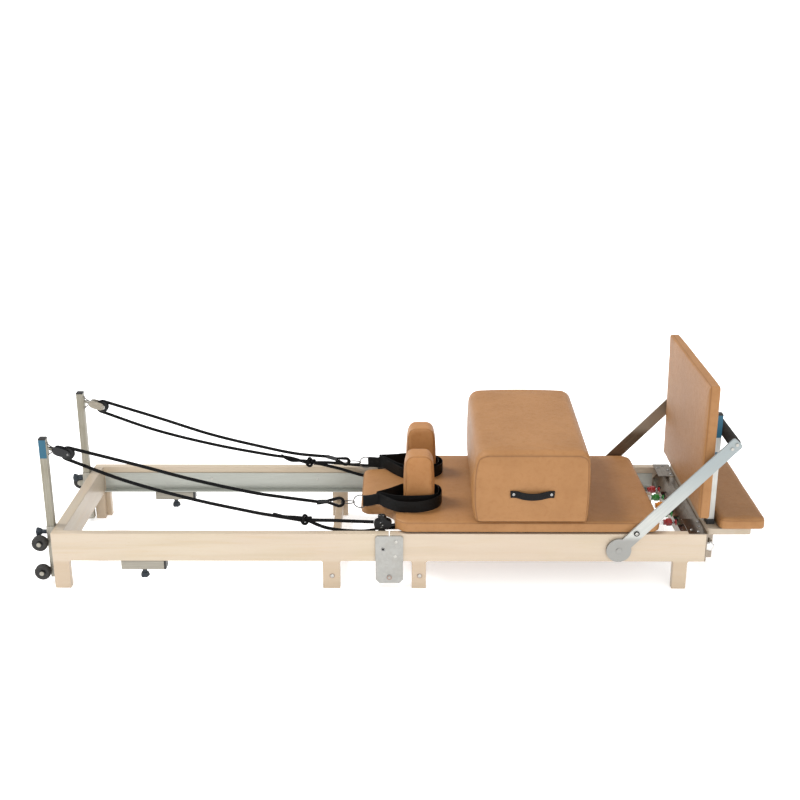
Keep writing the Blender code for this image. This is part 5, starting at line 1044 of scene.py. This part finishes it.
def make_pads():
    pads = []

    def cushion(name, vinyl_name, bm, seams, voxel, node, body, held, spare, tone=TAN, pressure=5.0, cap=0.002,
                below=0.0):
        """Readies a pad: seams and tone of its vinyl, size of its squares, the test for
        its pinned points, and how far it may swell past the node's box."""
        finish = vinyl(vinyl_name, seams, tone)
        low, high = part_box(node)
        within = (low - Vector(spare) - Vector((0, 0, below)), high + Vector(spare))
        piece = remeshed(bm, name, finish, voxel)
        pads.append({"piece": piece, "held": held, "pressure": pressure, "cap": cap, "body": body, "node": node,
                     "within": within})
        return piece

    # carriage pad with its headrest tongue
    outline = [(0.017, -0.295), (0.049, -0.325), (0.957, -0.325), (0.957, 0.325), (0.049, 0.325), (0.017, 0.295),
               (0.017, 0.226), (-0.033, 0.178), (-0.108, 0.178), (-0.108, -0.178), (-0.033, -0.178), (0.017, -0.226)]
    rounds = [0.006, 0.006, 0.045, 0.045, 0.006, 0.006, 0.02, 0.02, 0.04, 0.04, 0.02, 0.02]
    inset = 0.0014
    middle_x = 0.4265
    skirt = 0.216
    corners = [at(x - copysign(inset, x - middle_x), y - copysign(inset, y), skirt) for x, y in outline]
    bm = slab(corners, rounds, (0, 0, PAD_TOP - skirt - 0.0029))
    soften(bm, 0.007)
    cushion("carriage_cushion", "vinyl_carriage", bm, [("z", PAD_TOP - 0.0085, -0.0028)], 0.0085, "carriage_pad",
            "carriage", lambda p: p.z < skirt + 0.006, (0.005, 0, 0), below=0.005)

    # shoulder rests: a domed gusset between two face panels; the far one stands nearer
    # the foot end and is a little wider
    half = 0.0432
    belly, top = ON_PAD + 0.105, ON_PAD + 0.189
    for side, label in SIDES:
        y = side * 0.143
        slip, wide = (0.01, 0.002) if side > 0 else (0.0, 0.0)
        corners = [at(x + slip, y - half, z) for x, z in
                   ((0.054, ON_PAD), (0.1575 + wide, ON_PAD), (0.16 + wide, belly), (0.151 + wide, top),
                    (0.06, top), (0.051, belly))]
        bm = slab(corners, [0.003, 0.003, 0.05, 0.028, 0.028, 0.05], (0, 2 * half, 0))
        soften(bm, 0.005, 2, 0.9)
        node = f"shoulder_rest_{label}"
        cushion(f"{node}_cushion", f"vinyl_rest_{label}", bm, [("y", y - 0.0405, 0.003), ("y", y + 0.0405, -0.003)],
                0.0052, node, node, lambda p: p.z < PAD_TOP + 0.008, (0.016 if side > 0 else 0.004, 0, 0),
                (158, 110, 64), 7.0, 0.0026)

    # sitting box
    half, tall = 0.3325, 0.2605
    corners = [at(x, -half, z) for x, z in ((0.3085, ON_PAD), (0.6895, ON_PAD), (0.69, ON_PAD + tall),
                                            (0.308, ON_PAD + tall))]
    bm = slab(corners, [0.004, 0.004, 0.036, 0.036], (0, 2 * half, 0))
    soften(bm, 0.006, 2, 0.9)
    box = cushion("sitting_box_cushion", "vinyl_box", bm, [("y", -0.3295, 0.0035), ("y", 0.3295, -0.0035)],
                  0.008, "sitting_box", "sitting_box", lambda p: p.z < PAD_TOP + 0.009, (0.026, 0.0, 0.014), cap=0.0012)
    bulge_box(box)

    # jump pad, upright and a little out of square
    low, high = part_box("jump_pad")
    front, back = low.x - 0.002, high.x
    corners = [Vector(corner) for corner in
               ((front, low.y + 0.0014, low.z - 0.008), (front, high.y + 0.001, low.z + 0.0016),
                (front - 0.0055, high.y + 0.005, high.z + 0.0085), (front - 0.0005, low.y + 0.0014, high.z - 0.002))]
    bm = slab(corners, [0.006] * 4, (back - front - 0.001, 0, 0))
    soften(bm, 0.0036, 2, 0.9)
    cushion("jump_pad_cushion", "vinyl_jump", bm, [("x", front + 0.0035, 0.003)], 0.0066, "jump_pad",
            "jump_board", lambda p: p.x > back - 0.006, (0.01, 0.008, 0.012))

    # platform pad, wider towards the far side
    low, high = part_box("platform_pad")
    base = low.z
    corners = [Vector((x, y, base + 0.0006)) for x, y in
               ((low.x + inset, low.y + inset), (high.x + 0.006, low.y + inset),
                (high.x + 0.018, high.y - inset), (low.x + inset, high.y - inset))]
    bm = slab(corners, [0.022] * 4, (0, 0, high.z - base - 0.003))
    soften(bm, 0.006)
    cushion("platform_cushion", "vinyl_platform", bm, [("z", high.z - 0.0095, -0.0028)], 0.0064, "platform_pad",
            "foot_frame", lambda p: p.z < base + 0.007, (0.02, 0, 0))
    stuff(pads)


# ---------------------------------------------------------------- small fittings

def screws(name, places, axis, radius, finish, body, height):
    """Screw heads with a recess, standing on a face; several are numbered from 1."""
    profile = [(0.0, height * 0.55), (radius * 0.3, height * 0.55), (radius * 0.42, height), (radius * 0.62, height),
               (radius * 0.88, height * 0.72), (radius, height * 0.2), (radius, -0.0008), (0.0, -0.0008)]
    for number, place in enumerate(places, 1):
        word = f"{name}_{number}" if len(places) > 1 else name
        piece_from(turned(profile, place, axis, 20), word, finish, body)


def washer(name, place, axis, outer, inner, height, finish, body):
    """A flat ring with softened borders."""
    profile = [(inner, 0.0), (inner, height * 0.8), (inner + height * 0.3, height), (outer - height * 0.5, height),
               (outer, height * 0.4), (outer, 0.0), (inner, 0.0)]
    piece_from(turned(profile, place, axis, 28), name, finish, body)


def make_fittings(zinc, chrome, dark, rust):
    """Leg bolts, hinge plate screws with the lock hole and the pivot's rim, corner
    plate screws and track screws."""
    outside = HALF_WIDTH + 0.0072
    for side, label in SIDES:
        axis = (0, side, 0)

        def around(x, y, z):
            return at(x, side * y, z)

        for word, x in (("head", -0.203), ("foot", 0.107)):
            place = around(x, HALF_WIDTH, 0.05)
            washer(f"{word}_leg_bolt_hole_{label}", place, axis, 0.0092, 0.007, 0.0009, rust, f"{word}_frame")
            screws(f"{word}_leg_bolt_{label}", [place], axis, 0.0074, zinc, f"{word}_frame", 0.0026)
        places = [around(x, outside, z) for x, z in ((0.024, 0.186), (0.021, 0.13))]
        screws(f"hinge_screw_{label}", places, axis, 0.0062, zinc, "foot_frame", 0.0016)
        lock = around(-0.022, outside - 0.0016, 0.157)
        radius, height = 0.0044, 0.0018
        profile = [(0.0, height), (radius * 0.92, height), (radius, height * 0.6), (radius, 0.0), (0.0, 0.0)]
        # painted shade: the lock hole is a dark disc standing on the plate, not a hollow
        piece_from(turned(profile, lock, axis, 24), f"lock_hole_{label}", dark, "head_frame")
        washer(f"lock_hole_rim_{label}", lock, axis, 0.0078, 0.0046, 0.0026, chrome, "head_frame")
        pivot = around(0.0, outside + 0.0032, 0.048)
        washer(f"pivot_bolt_rim_{label}", pivot, axis, 0.009, 0.0052, 0.0008, rust, "foot_frame")
        places = [around(x, y, RAIL_TOP + 0.0023) for x, y in
                  ((1.066, 0.29), (1.088, 0.305), (1.1, 0.262), (1.104, 0.225))]
        screws(f"corner_screw_{label}", places, (0, 0, 1), 0.0058, chrome, "foot_frame", 0.0026)
        for word, z, row in (("head", 0.1625, (-1.08, -0.72, -0.2965, -0.07)), ("foot", 0.17, (0.07, 0.45, 0.8))):
            places = [around(x, RAIL_INNER - 0.0033, z) for x in row]
            screws(f"{word}_track_screw_{label}", places, (0, -side, 0), 0.0056, zinc, f"{word}_frame", 0.0012)


def make_bar_screws(zinc, dark):
    """Two screws at each arm's upper end and the lock bolt where it meets the rail."""
    for (side, label), edge in zip(SIDES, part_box("foot_bar")):
        axis = (0, side, 0)
        places = [at(x, edge.y, z) for x, z in ((1.169, 0.5385), (1.184, 0.5535))]
        screws(f"bar_screw_{label}", places, axis, 0.0056, zinc, "foot_bar", 0.0018)
        place = at(0.864, edge.y, 0.2215)
        washer(f"bar_lock_rim_{label}", place, axis, 0.0098, 0.006, 0.0014, dark, "foot_bar")
        screws(f"bar_lock_bolt_{label}", [place], axis, 0.0066, zinc, "foot_bar", 0.0034)


CLEAT_BODY = ((0.0, 0.0), (0.01, 0.0), (0.0128, 0.002), (0.0135, 0.006), (0.0122, 0.009), (0.0122, 0.015),
              (0.0142, 0.0175), (0.0145, 0.024), (0.0128, 0.027), (0.0128, 0.033), (0.0144, 0.036),
              (0.0146, 0.044), (0.0132, 0.0475), (0.011, 0.05), (0.011, 0.054), (0.0135, 0.056),
              (0.014, 0.06), (0.0126, 0.064), (0.0, 0.0655))
CLEAT_LUMP = ((0.0, 0.0), (0.0065, 0.0), (0.008, 0.003), (0.008, 0.013), (0.006, 0.017), (0.0, 0.018))


def make_cleats(black, chrome):
    """A rope clamp beside the headrest: stepped body, lumps round its foot, screws on
    top and on the near side, and a neck to the pad."""
    upright = (0, 0, 1)
    for side, label in SIDES:
        y = side * CLEAT_Y
        place = at(-0.027, y, 0.202)

        def spot(radius, angle, rise, squashed=1.0):
            a = radians(angle)
            return place + Vector((radius * cos(a), radius * squashed * sin(a), rise))

        parts = [turned(CLEAT_BODY, place, upright, 26)]
        for angle in (150, 210, 335):
            rise = 0.006 + 0.008 * cos(2 * radians(angle))
            parts.append(turned(CLEAT_LUMP, spot(0.0205, angle, rise, 0.006 / 0.0205), upright, 16))
        neck = smooth_line([at(-0.018, y, 0.223), at(-0.004, y, 0.2245), at(0.01, y * 0.995, 0.226),
                            at(0.024, y * 0.99, 0.228)], 0.003)
        parts.append(rod(neck, 0.0058, 12))
        piece_from(merged(parts), f"rope_clamp_{label}", black, "carriage")
        places = [spot(0.0078, angle, 0.064) for angle in (90, 215, 325)]
        screws(f"rope_clamp_screw_{label}", places, upright, 0.0026, chrome, "carriage", 0.0016)
        places = [place + Vector((across, -0.0128, rise)) for across, rise in
                  ((-0.004, 0.04), (0.003, 0.03), (-0.001, 0.0215))]
        screws(f"rope_clamp_side_screw_{label}", places, (0, -1, 0), 0.003, chrome, "carriage", 0.0016)


def make_bails(steel, chrome):
    """The bent wire that holds each pulley block to its post, with its two end bolts,
    and the bolt through the sheave."""
    rises = (0.019, -0.025)
    for side, label in SIDES:
        eye = post_eye(side)
        face = POST_X + POST_HALF
        tip = eye.x - SHIFT + 0.0125
        bend = smooth_line([at(x, eye.y, eye.z + rise) for x, rise in
                            ((face + 0.002, rises[0]), (face + 0.006, 0.015), (tip - 0.004, 0.0015), (tip, -0.003),
                             (tip - 0.004, -0.0075), (face + 0.006, -0.021), (face + 0.002, rises[1]))], 0.003)
        piece_from(rod(bend, 0.0019, 10), f"pulley_bail_{label}", steel, f"post_{label}")
        places = [at(face, eye.y, eye.z + rise) for rise in rises]
        screws(f"bail_bolt_{label}", places, (1, 0, 0), 0.0052, chrome, f"post_{label}", 0.004)
        centre = sheave_centre(side)
        centre.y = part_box(f"pulley_block_{label}")[0].y
        screws(f"sheave_bolt_{label}", [centre], (0, -1, 0), 0.004, chrome, f"pulley_{label}", 0.0014)


def make_cheek_covers():
    """The broad covers on the cheeks of both pulley blocks: dark on the near block,
    pale on the far one, both bare."""
    outline = ((0.01, -0.0105), (0.025, -0.016), (0.067, -0.014), (0.067, 0.014), (0.025, 0.016),
               (0.01, 0.0105))
    looks = {-1: (moulded("cover_near", (34, 34, 36), 0.34), "black_plastic"),
             1: (satin("cover_far", (150, 142, 128), "x", 0.34, 0.6, 0.08), "stainless")}
    for side, label in SIDES:
        for number, (edge, outward) in enumerate(zip(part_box(f"pulley_block_{label}"), (-1, 1)), 1):
            eye = post_eye(side)
            eye.y = edge.y
            corners = [eye + PULLEY_DOWN * a + PULLEY_UP * b for a, b in outline]
            bm = slab(corners, [0.005, 0.009, 0.0125, 0.0125, 0.009, 0.005], (0, outward * 0.0011, 0))
            soften(bm, 0.0004, 1)
            piece_from(bm, f"pulley_cover_{label}_{number}", looks[side][0], f"pulley_{label}")


def make_box_handle(cloth, chrome):
    """A slack black strap riveted to the box's near end."""
    face = -0.3365
    line = smooth_line([at(x, face - out, z) for x, out, z in
                        ((0.419, 0, 0.3695), (0.4303, 0.0006, 0.37), (0.443, 0.003, 0.3695),
                         (0.466, 0.009, 0.3655), (0.495, 0.011, 0.3635), (0.524, 0.009, 0.3655),
                         (0.547, 0.003, 0.369), (0.5604, 0.0006, 0.3697), (0.5715, 0, 0.369))], 0.004)
    piece_from(sweep(flat_section(0.003, 0.0255), line), "box_handle", cloth, "sitting_box")
    profile = [(0.0, 0.0028), (0.003, 0.0026), (0.0052, 0.0014), (0.0058, 0.0), (0.0, 0.0)]
    for number, (x, z) in enumerate(((0.43, 0.3702), (0.5606, 0.3697)), 1):
        rivet = turned(profile, at(x, face - 0.002, z), (0, -1, 0), 20)
        piece_from(rivet, f"box_handle_rivet_{number}", chrome, "sitting_box")


def make_grip(foam):
    """The foam sleeve on the foot bar's tube, with rounded ends."""
    low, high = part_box("foam_grip")
    radius = (high.z - low.z) / 2
    half = (high.y - low.y) / 2
    bore = 0.0127
    border = ((bore, 0.0002), (radius - 0.004, 0.0002), (radius - 0.0012, 0.0014), (radius, 0.0045))
    profile = [(out, -half + inwards) for out, inwards in border]
    steps = 26
    for i in range(1, steps):
        profile.append((radius - 0.0003 - 0.0003 * sin(i * 2.1), -half + 0.0045 + (2 * half - 0.009) * i / steps))
    profile += [(out, half - inwards) for out, inwards in reversed(border)] + profile[:1]
    piece_from(turned(profile, (low + high) / 2, (0, 1, 0), 40), "foot_bar_grip", foam, "foot_bar",
               "foam_grip")


# ---------------------------------------------------------------- put together

def dress(names, make):
    """Gives CAD nodes a finish in their own slots, each its own."""
    for name in names:
        material = make(name)
        node = NODES[name]
        if not node.data.materials:
            node.data.materials.append(material)
        for slot in node.material_slots:
            slot.material = material


def both(*words):
    return [f"{word}_{label}" for word in words for _, label in SIDES]


def dress_frame():
    wheel_x = -1.2435 + SHIFT
    jump_top = 0.6325
    dress(both("foot_rail", "head_rail"), lambda n: maple(f"maple_{n}"))
    dress(["head_beam", "foot_beam", "head_stretcher", "platform_board"], lambda n: maple(f"maple_{n}", "y", 0.9))
    dress(both("head_track", "foot_track"), lambda n: satin(f"track_{n}", (170, 172, 165), "x", 0.4, 0.55, 0.05))
    dress(both("foot_hinge_plate", "head_hinge_plate"), lambda n: galvanised(f"zinc_{n}"))
    for side, label in SIDES:
        labels = ((POST_TOP - 0.074, POST_TOP - 0.006),) if side < 0 else ()
        dress([f"post_{label}"], lambda n: plated(f"plated_{n}", capped=POST_TOP - 0.0062, labels=labels))
        for number, z in ((1, 0.155), (2, 0.042)):
            dress([f"transport_wheel_{label}_{number}"], lambda n: wheel_finish(f"wheel_{n}", wheel_x, z))
    dress(both("storage_sleeve"), lambda n: sleeve_finish(f"plated_{n}"))
    dress(["jump_frame"], lambda n: plated(f"plated_{n}", (198, 199, 196), jump_top,
                                           ((0.551, jump_top), (0.468, 0.498)), 0.244))
    dress(both("post_socket"), lambda n: plated(f"plated_{n}", (160, 156, 146)))
    dress(["foot_bar"], lambda n: bar_finish("foot_bar_aluminium"))
    dress(["foot_end_bracket"], lambda n: folded_steel("channel_steel"))
    dress(both("jump_knob"), lambda n: satin(f"chrome_{n}", (204, 203, 200), "y", 0.18, 1.0, 0.04))
    dress(both("post_knob", "storage_knob"), lambda n: moulded(f"slate_{n}", (40, 47, 54), 0.5))
    dress(["pulley_block_near"], lambda n: moulded(f"block_{n}", (46, 46, 48), 0.36))
    dress(["pulley_block_far"], lambda n: satin(f"block_{n}", (186, 184, 178), "x", 0.34, 0.75, 0.1))
    dress([*both("sheave"), "carriage_axle_1", "carriage_axle_2"], lambda n: moulded(f"nylon_{n}", (10, 10, 11), 0.42))
    dress(["carriage_chassis"], lambda n: plywood("carriage_plywood"))


def build():
    set_camera()
    set_studio()
    rope = braid("rope_braid")
    chrome = satin("chrome", (150, 149, 147), "y", 0.2, 1.0, 0.08)
    zinc = satin("zinc_screw", (190, 188, 182), "x", 0.34, 0.9, 0.08)
    dark = moulded("dark_fitting", (12, 12, 13), 0.45)
    sleeve = moulded("shrink_sleeve", (26, 27, 28), 0.5, 0.0002, 300.0)
    ferrule = satin("ferrule_sleeve", (54, 54, 55), "y", 0.4, 0.5, 0.14)
    make_ropes(rope)
    make_rope_hooks(rope, sleeve, satin("ring_steel", (92, 89, 86), "y", 0.24, 0.9, 0.12), ferrule)
    make_straps(webbing("strap_webbing"), webbing("tab_webbing", (9, 9, 9)))
    make_springs(satin("spring_steel", (176, 176, 174), "x", 0.3, 1.0, 0.08), chrome, dark)
    make_pads()
    make_grip(sponge("grip_foam"))
    make_fittings(zinc, chrome, dark, satin("rubbed_zinc", (150, 128, 116), "x", 0.45, 0.6, 0.08))
    make_bar_screws(zinc, dark)
    make_cleats(moulded("clamp_nylon", (4, 4, 5), 0.3, 0.0002, 400.0), chrome)
    make_bails(satin("bail_steel", (96, 91, 86), "z", 0.3, 0.9, 0.1), chrome)
    make_cheek_covers()
    make_box_handle(webbing("handle_webbing", (6, 6, 7)), chrome)
    dress_frame()


build()
